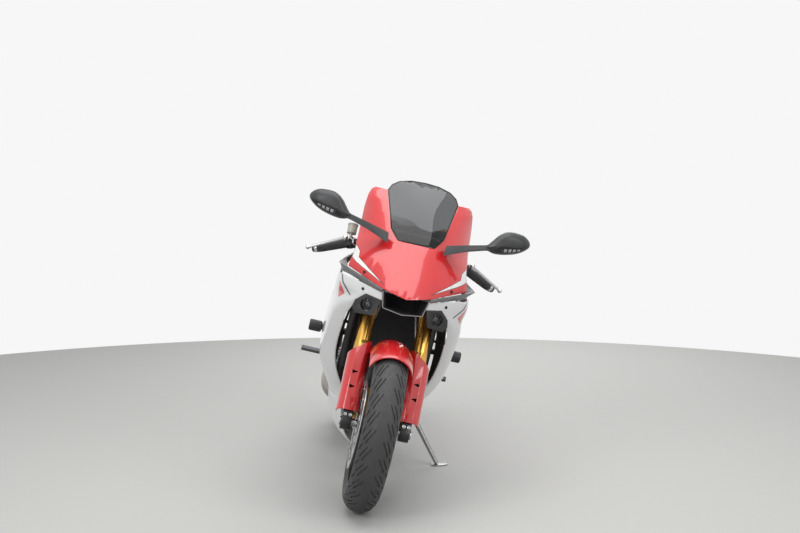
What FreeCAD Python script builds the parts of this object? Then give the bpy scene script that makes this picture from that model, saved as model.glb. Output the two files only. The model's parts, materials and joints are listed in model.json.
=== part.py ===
import FreeCAD, Part
import math
import os
import re
import Sketcher
from FreeCAD import Placement, Rotation, Vector

# A sport bike parked on its side stand, in millimetres and degrees.
# The bike's own frame has its origin at the front axle, with X to the rider's left,
# Y to the rear and Z up. Every piece is made there, at the steering head's rake or at
# its wheel, and the whole bike is then leaned onto its stand.

SIZES = (
    ("wheelbase", 1405, "front axle to rear axle"),
    ("rake", 24, "steering axis from the upright"),
    ("fork_offset", 28.8, "steering axis behind the fork legs"),
    ("lean", 13.2, "lean onto the side stand"),
    ("rim_radius", 216, "bead seat of both rims"),
    ("front_tyre_height", 84, "front tyre from its bead seat to its crown"),
    ("front_tyre_radius", "=rim_radius + front_tyre_height", "front tyre over its crown"),
    ("front_tyre_width", 120, "front tyre across its tread"),
    ("front_crown_radius", 62, "round of the front tread"),
    ("front_rim_width", 89, "between the front bead flanges"),
    ("rear_tyre_height", 104, "rear tyre from its bead seat to its crown"),
    ("rear_tyre_radius", "=rim_radius + rear_tyre_height", "rear tyre over its crown"),
    ("rear_tyre_width", 190, "rear tyre across its tread"),
    ("rear_crown_radius", 98, "round of the rear tread"),
    ("rear_rim_width", 152, "between the rear bead flanges"),
    ("flange_height", 9, "rim flange above its bead seat"),
    ("rim_wall", 6, "wall of the rims"),
    ("well_depth", 15, "drop of the rim well below its seat"),
    ("hub_radius", 34, "outside of both hubs"),
    ("rear_hub_width", 150, "rear hub along the axle"),
    ("spoke_width", 26, "spokes along the axle"),
    ("spoke_count", 5, "forked spokes in a wheel"),
    ("axle_radius", 12.5, "front axle"),
    ("axle_bore_radius", 8, "bore through the front axle"),
    ("rear_axle_radius", 14, "rear axle"),
    ("axle_fit", 0.3, "running gap of hubs on their axles"),
    ("disc_wall", 5, "thickness of the brake discs"),
    ("front_disc_radius", 160, "outside of the front discs"),
    ("rear_disc_radius", 110, "outside of the rear disc"),
    ("disc_band", 32, "width of the braking band"),
    ("front_disc_place", 62, "front discs from the middle"),
    ("rear_disc_place", 100, "rear disc from the middle"),
    ("fork_half", 105, "fork legs from the middle"),
    ("stanchion_radius", 21.5, "sliding tubes of the fork"),
    ("fork_tube_radius", 27.5, "outer tubes of the fork"),
    ("fork_tube_start", 235, "lower end of the outer tubes above the axle"),
    ("fork_length", 772, "top of the fork above the axle"),
    ("lower_clamp_height", 545, "underside of the lower clamp above the axle"),
    ("upper_clamp_height", 742, "underside of the upper clamp above the axle"),
    ("clamp_wall", 34, "height of the lower clamp"),
    ("upper_clamp_wall", 22, "height of the upper clamp"),
    ("clamp_fit", 0.2, "gap of clamped and seated pieces"),
    ("stem_radius", 15, "steering stem"),
    ("stem_bore_radius", 9, "open lower end of the steering stem"),
    ("head_radius", 31, "steering head of the frame"),
    ("steering_gap", 5.5, "steering head to the clamps"),
    ("clip_on_height", 719, "middle of the clip-on clamps above the axle"),
    ("bar_length", 283, "fork tube to the bar end"),
    ("bar_sweep", 33, "sweep of the bars to the rear"),
    ("bar_droop", 10, "droop of the bars"),
    ("bar_radius", 11, "handlebar tubes"),
    ("grip_radius", 16.5, "hand grips"),
    ("grip_length", 120, "hand grips along the bars"),
    ("hose_radius", 4.5, "brake hoses"),
    ("wheel_gap", 13, "fender over the front tyre"),
    ("cowl_wall", 4, "wall of the cowls"),
    ("cowl_gap", 0.4, "gap of pieces that seat on a cowl"),
    ("screen_wall", 3, "wall of the screen"),
    ("pivot_y", 835, "swingarm pivot behind the front axle"),
    ("pivot_z", 100, "swingarm pivot above the front axle"),
    ("pivot_radius", 12, "swingarm pivot shaft"),
    ("arm_inside", 126, "inner face of the swingarm from the middle"),
    ("arm_wall", 32, "width of a swingarm arm"),
    ("chain_place", 112, "middle of the chain from the middle of the bike"),
    ("chain_wall", 15, "chain across its links"),
    ("chain_pitch", 15.875, "link to link"),
    ("rear_teeth", 40, "teeth of the rear sprocket"),
    ("front_teeth", 16, "teeth of the front sprocket"),
    ("front_sprocket_y", 762, "front sprocket behind the front axle"),
    ("chain_links", 110, "links of the chain"),
    ("chain_plate", 3.5, "thickness of the chain's plates on each side"),
    ("chain_height", 15, "height of the chain's plates at their pins"),
    ("chain_waist", 10.8, "height of the chain's plates between pins"),
    ("roller_half", 4.5, "half width of the chain's rollers"),
    ("sprocket_wall", 7, "thickness of the sprockets"),
    ("tooth_gap", 1, "turning rear teeth to the rollers beside them"),
    ("engine_width", 296, "crankcase across the bike"),
    ("radiator_width", 330, "radiator core"),
    ("radiator_height", 270, "radiator core"),
    ("radiator_wall", 30, "radiator core, front to back"),
    ("header_radius", 19, "exhaust headers"),
    ("stand_pivot_x", 142, "stand pivot from the middle"),
    ("stand_pivot_y", 735, "stand pivot behind the front axle"),
    ("stand_pivot_z", -5, "stand pivot above the front axle"),
    ("stand_foot_x", 264.5, "stand foot on the floor, sideways"),
    ("stand_foot_y", 646, "stand foot on the floor, behind the front axle"),
    ("stand_leg_radius", 10, "leg of the stand"),
    ("foot_plate_wall", 5, "plate of the stand's foot"),
    ("spool_radius", 4, "thread for a paddock stand's spool"),
    ("spool_depth", 20, "depth of that thread"),
    ("spool_place", 38, "that thread behind the rear axle"),
    ("tank_width", 280, "fuel tank at its widest"),
    ("seat_height", 540, "rider's seat above the front axle"),
    ("lamp_radius", 22, "round headlamps"),
    ("puck_radius", 22, "crash bobbins"),
    ("puck_reach", 300, "crash bobbins' ends from the middle"),
    ("puck_y", 520, "crash bobbins behind the front axle"),
    ("puck_z", 235, "crash bobbins above the front axle"),
    ("peg_reach", 305, "foot pegs' ends from the middle"),
)

doc = FreeCAD.newDocument("SportBike")
sheet = doc.addObject("Spreadsheet::Sheet", "Sizes")
for row, (name, value, note) in enumerate(SIZES, 1):
    sheet.set(f"A{row}", name)
    sheet.set(f"B{row}", str(value))
    sheet.setAlias(f"B{row}", name)
    sheet.set(f"C{row}", note)
doc.recompute()

NAMES = {name for name, value, note in SIZES}
PIECES = {}


def cell(formula):
    """Write each size in a formula as a cell of the sheet."""
    def reference(word):
        return "Sizes." + word.group() if word.group() in NAMES else word.group()
    return re.sub(r"[a-z]\w*", reference, str(formula))


def size(formula):
    """Work out a formula of sizes as a plain number."""
    value = sheet.evalExpression(cell(formula))
    return float(getattr(value, "Value", value))


def rod(start, end, radius):
    """Make a round bar from one point to another."""
    return Part.makeCylinder(radius, (end - start).Length, start, end - start)


def turned(shape, angle, axis, centre=Vector()):
    """Turn a shape about an axis through a point."""
    copy = shape.copy()
    copy.rotate(centre, axis, angle)
    return copy


def both_sides(shape):
    """Put a shape and its mirror image across the middle in one compound."""
    return Part.makeCompound([shape, shape.mirror(Vector(), Vector(1, 0, 0))])


RAKED = Placement(Vector(), Rotation(Vector(1, 0, 0), -size("rake")))
REAR_WHEEL = Placement(Vector(0, size("wheelbase"), size("rear_tyre_radius - front_tyre_radius")), Rotation())
LEVEL = Placement()


def parked():
    """Lean the bike until both tyres and the stand are on the floor."""
    lean = math.radians(size("lean"))
    heights = []
    for wheel in ("front", "rear"):
        crown = size(wheel + "_crown_radius")
        heights.append((size(wheel + "_tyre_radius") - crown) * math.cos(lean) + crown)
    rise = heights[1] - heights[0] - REAR_WHEEL.Base.z * math.cos(lean)
    pitch = math.degrees(math.asin(rise / size("wheelbase")))
    turn = Rotation(Vector(1, 0, 0), pitch) * Rotation(Vector(0, 1, 0), size("lean"))
    return Placement(Vector(0, 0, heights[0]), turn)


PARKED = parked()


def keep(piece, frame=LEVEL):
    """Count a document object as a sub-part, made in one of the bike's frames."""
    PIECES[piece.Label] = (piece, frame)
    return piece


def shaped(label, shape, frame=LEVEL):
    """Keep a shape that is set in code as a sub-part."""
    piece = doc.addObject("Part::Feature", label)
    piece.Shape = shape
    return keep(piece, frame)


def new_body(label, frame=LEVEL):
    """Start a body."""
    body = doc.addObject("PartDesign::Body", label)
    body.AllowCompound = True
    return keep(body, frame)


def origin(body, role):
    """Find a plane or an axis of a body's origin."""
    return next(part for part in body.Origin.OriginFeatures if part.Role == role)


def sketch(body, plane, lift="0", across="0", up="0"):
    """Start a sketch on one of a body's own planes, moved by formulas of sizes."""
    drawing = body.newObject("Sketcher::SketchObject", "Sketch")
    drawing.AttachmentSupport = [(origin(body, plane + "_Plane"), "")]
    drawing.MapMode = "FlatFace"
    drawing.setExpression(".AttachmentOffset.Base.x", cell(across))
    drawing.setExpression(".AttachmentOffset.Base.y", cell(up))
    drawing.setExpression(".AttachmentOffset.Base.z", cell(lift))
    return drawing


def fix(drawing, constraint, formula):
    """Add a measured constraint and bind it to a formula of sizes."""
    index = drawing.addConstraint(constraint)
    drawing.setExpression(f"Constraints[{index}]", cell(formula))


def circle(drawing, across, up, radius):
    """Draw a circle by formulas of sizes."""
    centre = Vector(size(across), size(up), 0)
    index = drawing.addGeometry(Part.Circle(centre, Vector(0, 0, 1), size(radius)), False)
    fix(drawing, Sketcher.Constraint("DistanceX", -1, 1, index, 3, centre.x), across)
    fix(drawing, Sketcher.Constraint("DistanceY", -1, 1, index, 3, centre.y), up)
    fix(drawing, Sketcher.Constraint("Radius", index, size(radius)), radius)


def outline(drawing, corners):
    """Draw a closed outline through corners given as formulas of sizes.

    A corner's third entry is the rise of the arc from there to the next corner,
    to the left of the way there.
    """
    ends = []
    places = [Vector(size(corner[0]), size(corner[1]), 0) for corner in corners]
    for number, corner in enumerate(corners):
        start = places[number]
        following = corners[(number + 1) % len(corners)]
        end = places[(number + 1) % len(corners)]
        if len(corner) < 3:
            index = drawing.addGeometry(Part.LineSegment(start, end), False)
            ends.append((index, 1, 2))
            continue
        rise = size(corner[2])
        side = Vector(start.y - end.y, end.x - start.x, 0).normalize()
        middle = (start + end) * 0.5 + side * rise
        index = drawing.addGeometry(Part.Arc(start, middle, end), False)
        forward = drawing.getPoint(index, 1).distanceToPoint(start) < 0.001
        ends.append((index, 1, 2) if forward else (index, 2, 1))
        chord = f"((({following[0]}) - ({corner[0]}))^2 + (({following[1]}) - ({corner[1]}))^2)"
        radius = f"{chord} / (8 * abs({corner[2]})) + abs({corner[2]}) / 2"
        fix(drawing, Sketcher.Constraint("Radius", index, size(radius)), radius)
    for number, (index, first, last) in enumerate(ends):
        after = ends[(number + 1) % len(ends)]
        drawing.addConstraint(Sketcher.Constraint("Coincident", index, last, after[0], after[1]))
        place = places[number]
        fix(drawing, Sketcher.Constraint("DistanceX", -1, 1, index, first, place.x), corners[number][0])
        fix(drawing, Sketcher.Constraint("DistanceY", -1, 1, index, first, place.y), corners[number][1])


def pad(body, drawing, length, symmetric=True, reverse=False):
    """Raise a sketch into a solid."""
    feature = body.newObject("PartDesign::Pad", "Pad")
    feature.Profile = drawing
    feature.SideType = "Symmetric" if symmetric else "One side"
    feature.Reversed = reverse
    feature.setExpression("Length", cell(length))
    return feature


def pocket(body, drawing, length, symmetric=True, reverse=False):
    """Cut a sketch out of a solid, and check that it cuts."""
    doc.recompute()
    before = body.Shape.Volume
    feature = body.newObject("PartDesign::Pocket", "Pocket")
    feature.Profile = drawing
    feature.SideType = "Symmetric" if symmetric else "One side"
    feature.Reversed = reverse
    feature.setExpression("Length", cell(length))
    doc.recompute()
    if body.Shape.Volume >= before:
        raise RuntimeError("a pocket cuts nothing in " + body.Label)
    return feature


def revolve(body, drawing, axis="H_Axis"):
    """Turn a sketch about one of its axes."""
    feature = body.newObject("PartDesign::Revolution", "Revolution")
    feature.Profile = drawing
    feature.ReferenceAxis = (drawing, [axis])
    feature.Angle = 360
    return feature


def repeat(body, features, axis, count):
    """Repeat features about an axis of the body."""
    feature = body.newObject("PartDesign::PolarPattern", "Pattern")
    feature.Originals = features
    feature.Axis = (origin(body, axis + "_Axis"), [""])
    feature.Angle = 360
    feature.setExpression("Occurrences", cell(count))
    body.Tip = feature
    return feature


def paired(label, piece, frame=LEVEL):
    """Keep a piece and its mirror image across the middle of the bike as one sub-part."""
    del PIECES[piece.Label]
    image = doc.addObject("Part::Mirroring", label + "_image")
    image.Source = piece
    image.Normal = Vector(1, 0, 0)
    pair = doc.addObject("Part::Compound", label)
    pair.Links = [piece, image]
    return keep(pair, frame)


def curve(points):
    """Draw a smooth line through points."""
    if len(points) == 2:
        return Part.LineSegment(points[0], points[1]).toShape()
    spline = Part.BSplineCurve()
    spline.interpolate(points)
    return spline.toShape()


def sheet_wire(points, wall, inward, creases):
    """Close a curved line into the section of a sheet, its wall on the inward side."""
    inner = []
    for number, point in enumerate(points):
        before = points[max(number - 1, 0)]
        after = points[min(number + 1, len(points) - 1)]
        way = (after - before).normalize()
        side = (inward(point) - way * inward(point).dot(way)).normalize()
        inner.append(point + side * wall)
    stops = [0] + list(creases) + [len(points) - 1]
    edges = [curve(points[a:b + 1]) for a, b in zip(stops, stops[1:])]
    edges.append(Part.LineSegment(points[-1], inner[-1]).toShape())
    edges += [curve(inner[a:b + 1][::-1]) for a, b in reversed(list(zip(stops, stops[1:])))]
    edges.append(Part.LineSegment(inner[0], points[0]).toShape())
    return Part.Wire(edges)


def curved_sheet(rows, wall, inward, creases=(), ruled=False):
    """Lead a sheet of even wall through rows of points on its outer face."""
    wires = [sheet_wire(row, wall, inward, creases) for row in rows]
    return Part.makeLoft(wires, True, ruled)


def prism(points, direction):
    """Raise a flat outline of points into a cutting block."""
    return Part.Face(Part.makePolygon(points + [points[0]])).extrude(direction)


def side_prism(points, start, end):
    """Raise an outline drawn from the side, in Y and Z, from one X to another."""
    return prism([Vector(start, across, up) for across, up in points], Vector(end - start, 0, 0))


def front_prism(points, start, end):
    """Raise an outline drawn from the front, in X and Z, from one Y to another."""
    return prism([Vector(across, start, up) for across, up in points], Vector(0, end - start, 0))


def pipe(points, radii, radius, bore=0):
    """Lead a round tube along straight runs joined by arcs of the given radii."""
    edges = []
    start = points[0]
    for corner, after, bend in zip(points[1:-1], points[2:], radii):
        before_way = (corner - start).normalize()
        after_way = (after - corner).normalize()
        turn = before_way.getAngle(after_way)
        cut = bend * math.tan(turn / 2)
        enter = corner - before_way * cut
        leave = corner + after_way * cut
        inward = (after_way - before_way).normalize()
        middle = corner + inward * bend * (1 / math.cos(turn / 2) - 1)
        edges.append(Part.LineSegment(start, enter).toShape())
        edges.append(Part.Arc(enter, middle, leave).toShape())
        start = leave
    edges.append(Part.LineSegment(start, points[-1]).toShape())
    path = Part.Wire(edges)
    way = points[1] - points[0]
    solid = path.makePipeShell([Part.Wire(Part.makeCircle(radius, points[0], way))], True, True)
    if bore:
        solid = solid.cut(path.makePipeShell([Part.Wire(Part.makeCircle(bore, points[0], way))], True, True))
    return solid


def rim(wheel, frame):
    """Cast wheel: a rim, a hub and forked spokes between them."""
    body = new_body(wheel + "_rim", frame)
    half = f"{wheel}_rim_width / 2"
    section = sketch(body, "XY")
    outline(section, [
        (f"-({half} + rim_wall)", "rim_radius + flange_height"), (f"-({half})", "rim_radius + flange_height"),
        (f"-({half})", "rim_radius"), (f"-({half} * 0.55)", "rim_radius"),
        (f"-({half} * 0.35)", "rim_radius - well_depth"), (f"{half} * 0.35", "rim_radius - well_depth"),
        (f"{half} * 0.55", "rim_radius"), (half, "rim_radius"),
        (half, "rim_radius + flange_height"), (f"{half} + rim_wall", "rim_radius + flange_height"),
        (f"{half} + rim_wall", "rim_radius - rim_wall"),
        (f"{half} * 0.55", "rim_radius - rim_wall"), (f"{half} * 0.35", "rim_radius - well_depth - rim_wall"),
        (f"-({half} * 0.35)", "rim_radius - well_depth - rim_wall"), (f"-({half} * 0.55)", "rim_radius - rim_wall"),
        (f"-({half} + rim_wall)", "rim_radius - rim_wall")])
    bore = f"{'axle_radius' if wheel == 'front' else 'rear_axle_radius'} + axle_fit"
    right = f"-({wheel}_disc_place - disc_wall / 2)"
    left = "front_disc_place - disc_wall / 2" if wheel == "front" else "rear_hub_width / 2"
    outline(section, [(right, bore), (left, bore), (left, "hub_radius"), (right, "hub_radius")])
    revolve(body, section)
    arm = sketch(body, "YZ")
    tip = "rim_radius - well_depth - rim_wall / 2"
    outline(arm, [
        ("-18", "hub_radius - 6"), ("18", "hub_radius - 6"), ("15", "hub_radius + 62", "-10"),
        ("62", tip), ("44", f"{tip}"), ("0", "hub_radius + 92"), ("-44", tip), ("-62", tip, "-10"),
        ("-15", "hub_radius + 62")])
    spoke = pad(body, arm, "spoke_width")
    repeat(body, [spoke], "X", "spoke_count")


def tyre(wheel, frame):
    """Tyre with a round crown, seated on its rim."""
    body = new_body(wheel + "_tyre", frame)
    section = sketch(body, "XY")
    half = f"{wheel}_tyre_width / 2"
    seat = f"{wheel}_rim_width / 2"
    shoulder = (f"{wheel}_tyre_radius - {wheel}_crown_radius"
                f" + sqrt({wheel}_crown_radius^2 - ({half})^2)")
    outline(section, [
        (f"-({seat})", "rim_radius"), (f"-({seat})", "rim_radius + flange_height", "6"),
        (f"-({half})", shoulder, f"{wheel}_tyre_radius - ({shoulder})"),
        (half, shoulder, "6"), (seat, "rim_radius + flange_height"), (seat, "rim_radius")])
    revolve(body, section)


def braking_disc(label, frame, place, radius):
    """Brake disc: a band and a carrier with ten arms."""
    body = new_body(label, frame)
    band = sketch(body, "YZ", place)
    circle(band, "0", "0", radius)
    circle(band, "0", "0", f"{radius} - disc_band")
    pad(body, band, "disc_wall")
    middle = sketch(body, "YZ", place)
    circle(middle, "0", "0", "hub_radius + 22")
    circle(middle, "0", "0", "hub_radius - 12")
    pad(body, middle, "disc_wall")
    arm = sketch(body, "YZ", place)
    outline(arm, [("-7", "hub_radius + 18"), ("7", "hub_radius + 18"), ("9", f"{radius} - disc_band + 4"),
                  ("-9", f"{radius} - disc_band + 4")])
    repeat(body, [pad(body, arm, "disc_wall")], "X", "10")
    return body


def front_axle():
    """Hollow front axle with its heads outside the fork feet."""
    body = new_body("front_axle")
    shaft = sketch(body, "XY")
    end = "fork_half + 24"
    bore = "axle_bore_radius"
    outline(shaft, [
        (f"-({end})", bore), (end, bore), (end, "axle_radius + 3"), ("fork_half + 18", "axle_radius + 3"),
        ("fork_half + 18", "axle_radius"), ("-(fork_half + 18)", "axle_radius"),
        ("-(fork_half + 18)", "axle_radius + 3"), (f"-({end})", "axle_radius + 3")])
    revolve(body, shaft)


def fork_legs():
    """Sliding tubes with the feet that clamp the axle and carry the calipers."""
    leg = new_body("fork_leg")
    tube = sketch(leg, "XZ", across="fork_half")
    outline(tube, [("0", "40"), ("stanchion_radius", "40"), ("stanchion_radius", "fork_tube_start + 150"),
                   ("0", "fork_tube_start + 150")])
    revolve(leg, tube, "V_Axis")
    foot = sketch(leg, "YZ", "fork_half")
    outline(foot, [
        ("-30", "0", "-28"), ("30", "0"), ("46", "34"), ("66", "40"), ("66", "52"), ("34", "60"), ("30", "120"),
        ("66", "138"), ("66", "150"), ("28", "150"), ("-28", "150"), ("-27", "60")])
    pad(leg, foot, "36")
    bore = sketch(leg, "YZ", "fork_half")
    circle(bore, "0", "0", "axle_radius + clamp_fit")
    pocket(leg, bore, "80")
    paired("fork_legs", leg, RAKED)


def fork_tubes():
    """Outer tubes, open below for the sliding tubes, with their collars and caps."""
    tube = new_body("fork_tube")
    section = sketch(tube, "XZ", across="fork_half")
    slide = "stanchion_radius + clamp_fit"
    outline(section, [
        (slide, "fork_tube_start"), ("fork_tube_radius + 3.5", "fork_tube_start"),
        ("fork_tube_radius + 3.5", "fork_tube_start + 16"), ("fork_tube_radius + 1", "fork_tube_start + 20"),
        ("fork_tube_radius + 1", "fork_tube_start + 60"), ("fork_tube_radius", "fork_tube_start + 64"),
        ("fork_tube_radius", "fork_length - 6"), ("fork_tube_radius - 4", "fork_length"),
        ("14", "fork_length"), ("14", "fork_length + 8"), ("0", "fork_length + 8"),
        ("0", "fork_tube_start + 152"), (slide, "fork_tube_start + 152")])
    revolve(tube, section, "V_Axis")
    paired("fork_tubes", tube, RAKED)


def clamp_outline(drawing, reach):
    """Draw a fork clamp that joins both tubes round the steering axis."""
    outline(drawing, [
        (f"-(fork_half + {reach})", "0", f"-{reach} * 0.94"), (f"-(fork_half - {reach})", "0"),
        ("-46", "0"), ("-30", "fork_offset - 34"), ("30", "fork_offset - 34"), ("46", "0"),
        (f"fork_half - {reach}", "0", f"-{reach} * 0.94"), (f"fork_half + {reach}", "0"),
        (f"fork_half + {reach}", "4", "8"), ("fork_half - 4", f"{reach}"),
        ("34", "fork_offset + 8", "14"), ("-34", "fork_offset + 8"), ("-(fork_half - 4)", f"{reach}", "8"),
        (f"-(fork_half + {reach})", "4")])


def fork_clamps():
    """Lower clamp with the steering stem, and the upper clamp that closes it."""
    lower = new_body("lower_clamp", RAKED)
    plate = sketch(lower, "XY", "lower_clamp_height")
    clamp_outline(plate, "(fork_tube_radius + 13)")
    pad(lower, plate, "clamp_wall", False)
    stem = sketch(lower, "XY", "lower_clamp_height")
    circle(stem, "0", "fork_offset", "stem_radius")
    pad(lower, stem, "upper_clamp_height + upper_clamp_wall - lower_clamp_height + 8", False)
    holes = sketch(lower, "XY", "lower_clamp_height - 1")
    circle(holes, "fork_half", "0", "fork_tube_radius + clamp_fit")
    circle(holes, "-fork_half", "0", "fork_tube_radius + clamp_fit")
    pocket(lower, holes, "clamp_wall + 2", False, True)
    bore = sketch(lower, "XY", "lower_clamp_height - 1")
    circle(bore, "0", "fork_offset", "stem_bore_radius")
    pocket(lower, bore, "60", False, True)
    upper = new_body("upper_clamp", RAKED)
    bridge = sketch(upper, "XY", "upper_clamp_height")
    clamp_outline(bridge, "(fork_tube_radius + 11)")
    pad(upper, bridge, "upper_clamp_wall", False)
    openings = sketch(upper, "XY", "upper_clamp_height - 1")
    circle(openings, "fork_half", "0", "fork_tube_radius + clamp_fit")
    circle(openings, "-fork_half", "0", "fork_tube_radius + clamp_fit")
    circle(openings, "0", "fork_offset", "stem_radius + clamp_fit")
    pocket(upper, openings, "upper_clamp_wall + 2", False, True)
    nut = sketch(upper, "XY", "upper_clamp_height + upper_clamp_wall")
    circle(nut, "0", "fork_offset", "stem_radius + 9")
    circle(nut, "0", "fork_offset", "stem_radius + clamp_fit")
    pad(upper, nut, "10", False)


def bar_way():
    """Direction of the left handlebar in the steering head's frame."""
    sweep = math.radians(size("bar_sweep"))
    droop = math.radians(size("bar_droop"))
    return Vector(math.cos(sweep) * math.cos(droop), math.sin(sweep) * math.cos(droop), -math.sin(droop))


def handlebars():
    """Clip-on bars, their grips, the levers and what they are clamped with."""
    centre = Vector(size("fork_half"), 0, size("clip_on_height"))
    way = bar_way()
    root = centre + Vector(0, size("fork_tube_radius + 15"), 0)
    start = root + way * 12
    end = root + way * size("bar_length")
    ring = Part.makeCylinder(size("fork_tube_radius + 9"), 32, centre - Vector(0, 0, 16))
    lug = rod(root - way * 26, start + way * 18, size("bar_radius + 6"))
    bar = rod(start, end - way * 8, size("bar_radius"))
    clip = ring.fuse([lug, bar]).cut(
        Part.makeCylinder(size("fork_tube_radius + clamp_fit"), 100, centre - Vector(0, 0, 50)))
    shaped("clip_ons", both_sides(clip.removeSplitter()), RAKED)
    grip_start = end - way * size("grip_length + 10")
    grip_end = end - way * 10
    flange = rod(grip_start - way * 3, grip_start, size("grip_radius + 5"))
    rubber = rod(grip_start, grip_end, size("grip_radius")).fuse(flange)
    weight = rod(grip_end, end, size("grip_radius - 1")).fuse(rod(end, end + way * 14, size("grip_radius - 4")))
    grip = rubber.fuse(weight).cut(rod(grip_start - way * 4, end - way * 8, size("bar_radius + clamp_fit")))
    shaped("grips", both_sides(grip.removeSplitter()), RAKED)
    perch = grip_start - way * 34
    ahead = Vector(way.y, -way.x, 0).normalize()
    collar = rod(perch, perch + way * 22, size("bar_radius + 6")).cut(
        rod(perch - way, perch + way * 23, size("bar_radius + clamp_fit")))
    knuckle = rod(perch + way * 11 + ahead * 14, perch + way * 11 + ahead * 46, 9)
    pivot = perch + way * 16 + ahead * 48
    blade_tip = end + way * 6 + ahead * 52 - Vector(0, 0, 16)
    blade = rod(pivot, blade_tip, 5.5).fuse(Part.makeSphere(8.5, blade_tip))
    lever = collar.fuse([knuckle, blade, Part.makeSphere(11, pivot)])
    shaped("levers", both_sides(lever.removeSplitter()), RAKED)
    seat = perch + way * 11 + ahead * 22
    cup = rod(seat + Vector(0, 0, 26), seat + Vector(0, 0, 58), 18)
    foot = rod(seat + Vector(0, 0, 9.4), seat + Vector(0, 0, 28), 5)
    lid = rod(seat + Vector(0, 0, 58), seat + Vector(0, 0, 63), 20)
    shaped("brake_reservoir", cup.fuse([foot, lid]).mirror(Vector(), Vector(1, 0, 0)), RAKED)


def front_fender():
    """Fender over the front tyre, with a guard in front of each sliding tube."""
    inner = size("front_tyre_radius + wheel_gap")
    half = size("front_tyre_width / 2 + wheel_gap")
    wall = size("cowl_wall")
    outer = inner + wall
    shoulder = inner - 58
    arc_top = Part.Arc(Vector(-half - wall, 0, shoulder), Vector(0, 0, outer), Vector(half + wall, 0, shoulder))
    arc_low = Part.Arc(Vector(half, 0, shoulder), Vector(0, 0, inner), Vector(-half, 0, shoulder))
    profile = Part.Wire([
        arc_top.toShape(), Part.LineSegment(Vector(half + wall, 0, shoulder), Vector(half, 0, shoulder)).toShape(),
        arc_low.toShape(), Part.LineSegment(Vector(-half, 0, shoulder), Vector(-half - wall, 0, shoulder)).toShape()])
    start = turned(Part.Face(profile), 52, Vector(1, 0, 0))
    arch = start.revolve(Vector(), Vector(1, 0, 0), -118)
    leg = size("fork_half")
    round_leg = size("fork_tube_radius") + 3.5 + 3 + wall
    section = ((-0.92, -0.3), (-0.72, -0.82), (-0.3, -1.14), (0.5, -1.14), (1.02, -0.62), (1.14, 0.3))
    rows = [[Vector(leg + round_leg * across, round_leg * back, height) for across, back in section]
            for height in (34, 110, 190, 250, 300)]
    guard = curved_sheet(rows, wall, lambda point: Vector(leg - point.x, -point.y, 0), (2, 3))
    vents = [prism([Vector(leg + across, -80, height + up) for across, up in ((-6, 2), (17, 7), (15, -7))],
                   Vector(0, 50, 0)) for height in (172, 118)]
    above = front_prism([(leg - 36, 302), (leg + 50, 240), (leg + 50, 310), (leg - 36, 310)], -80, 80)
    guard = guard.cut(vents + [above])
    collar = Part.makeCylinder(size("fork_tube_radius + 3.5 + clamp_fit"), 60, Vector(leg, 0, 215))
    lug = Part.makeBox(13, 26, 14, Vector(leg - 36, -14, size("fork_tube_start + 1")))
    right = [piece.mirror(Vector(), Vector(1, 0, 0)) for piece in (guard, lug)]
    body = arch.fuse([guard, lug] + right).cut(both_sides(collar))
    shaped("front_fender", body, RAKED)


def front_calipers():
    """Brake calipers that straddle the front discs behind the fork legs."""
    place = size("front_disc_place")
    reach = size("front_disc_radius")
    caliper = prism([Vector(place - 25, across, up) for across, up in (
        (44, 34), (84, 34), (98, 52), (98, 128), (84, 152), (44, 152))], Vector(50, 0, 0))
    caliper = caliper.makeFillet(6, [edge for edge in caliper.Edges if abs(edge.tangentAt(0).x) > 0.9])
    caps = [rod(Vector(place + 24, 68, up), Vector(place + 29, 68, up), 17) for up in (70, 116)]
    caliper = caliper.fuse(caps)
    slot = Part.makeCylinder(reach + 6, size("disc_wall") + 11, Vector(place - size("disc_wall") / 2 - 5.5, 0, 0),
                             Vector(1, 0, 0))
    shaped("front_calipers", both_sides(caliper.cut(slot)), RAKED)


def brake_hoses():
    """Hoses from the lower clamp down to both front calipers."""
    hose = pipe([Vector(64, 30, size("lower_clamp_height") - 1.5), Vector(64, 44, 470), Vector(92, 62, 340),
                 Vector(93, 76, 240), Vector(78, 84, 182), Vector(78, 84, 152)], (90, 90, 90, 60),
                size("hose_radius"))
    shaped("brake_hoses", both_sides(hose), RAKED)


def section_loft(stations, ruled=False):
    """Lead a solid along Y through six-sided sections with rounded sides.

    A station is (y, half width, low z, wide z, top z, flat half width at the top).
    """
    wires = []
    for y, half, low, wide, top, flat in stations:
        corners = [Vector(-half * 0.72, y, low), Vector(half * 0.72, y, low), Vector(half, y, wide),
                   Vector(flat, y, top), Vector(-flat, y, top), Vector(-half, y, wide)]
        bulge = Vector(half * 0.5 + flat * 0.5 + (half - flat) * 0.2, y, wide * 0.4 + top * 0.6)
        edges = [
            Part.LineSegment(corners[0], corners[1]).toShape(),
            Part.LineSegment(corners[1], corners[2]).toShape(),
            Part.Arc(corners[2], bulge, corners[3]).toShape(),
            Part.LineSegment(corners[3], corners[4]).toShape(),
            Part.Arc(corners[4], Vector(-bulge.x, y, bulge.z), corners[5]).toShape(),
            Part.LineSegment(corners[5], corners[0]).toShape()]
        wires.append(Part.Wire(edges))
    return Part.makeLoft(wires, True, ruled)


def beam(stations, ruled=False):
    """Lead a solid through upright rectangles: (centre, width along X, height, tilt about X)."""
    wires = []
    for centre, width, height, tilt in stations:
        corners = [Vector(across * width / 2, 0, up * height / 2)
                   for across, up in ((-1, -1), (1, -1), (1, 1), (-1, 1))]
        turn = Rotation(Vector(1, 0, 0), tilt)
        wires.append(Part.makePolygon([centre + turn.multVec(corner) for corner in corners + corners[:1]]))
    return Part.makeLoft(wires, True, ruled)


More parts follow.
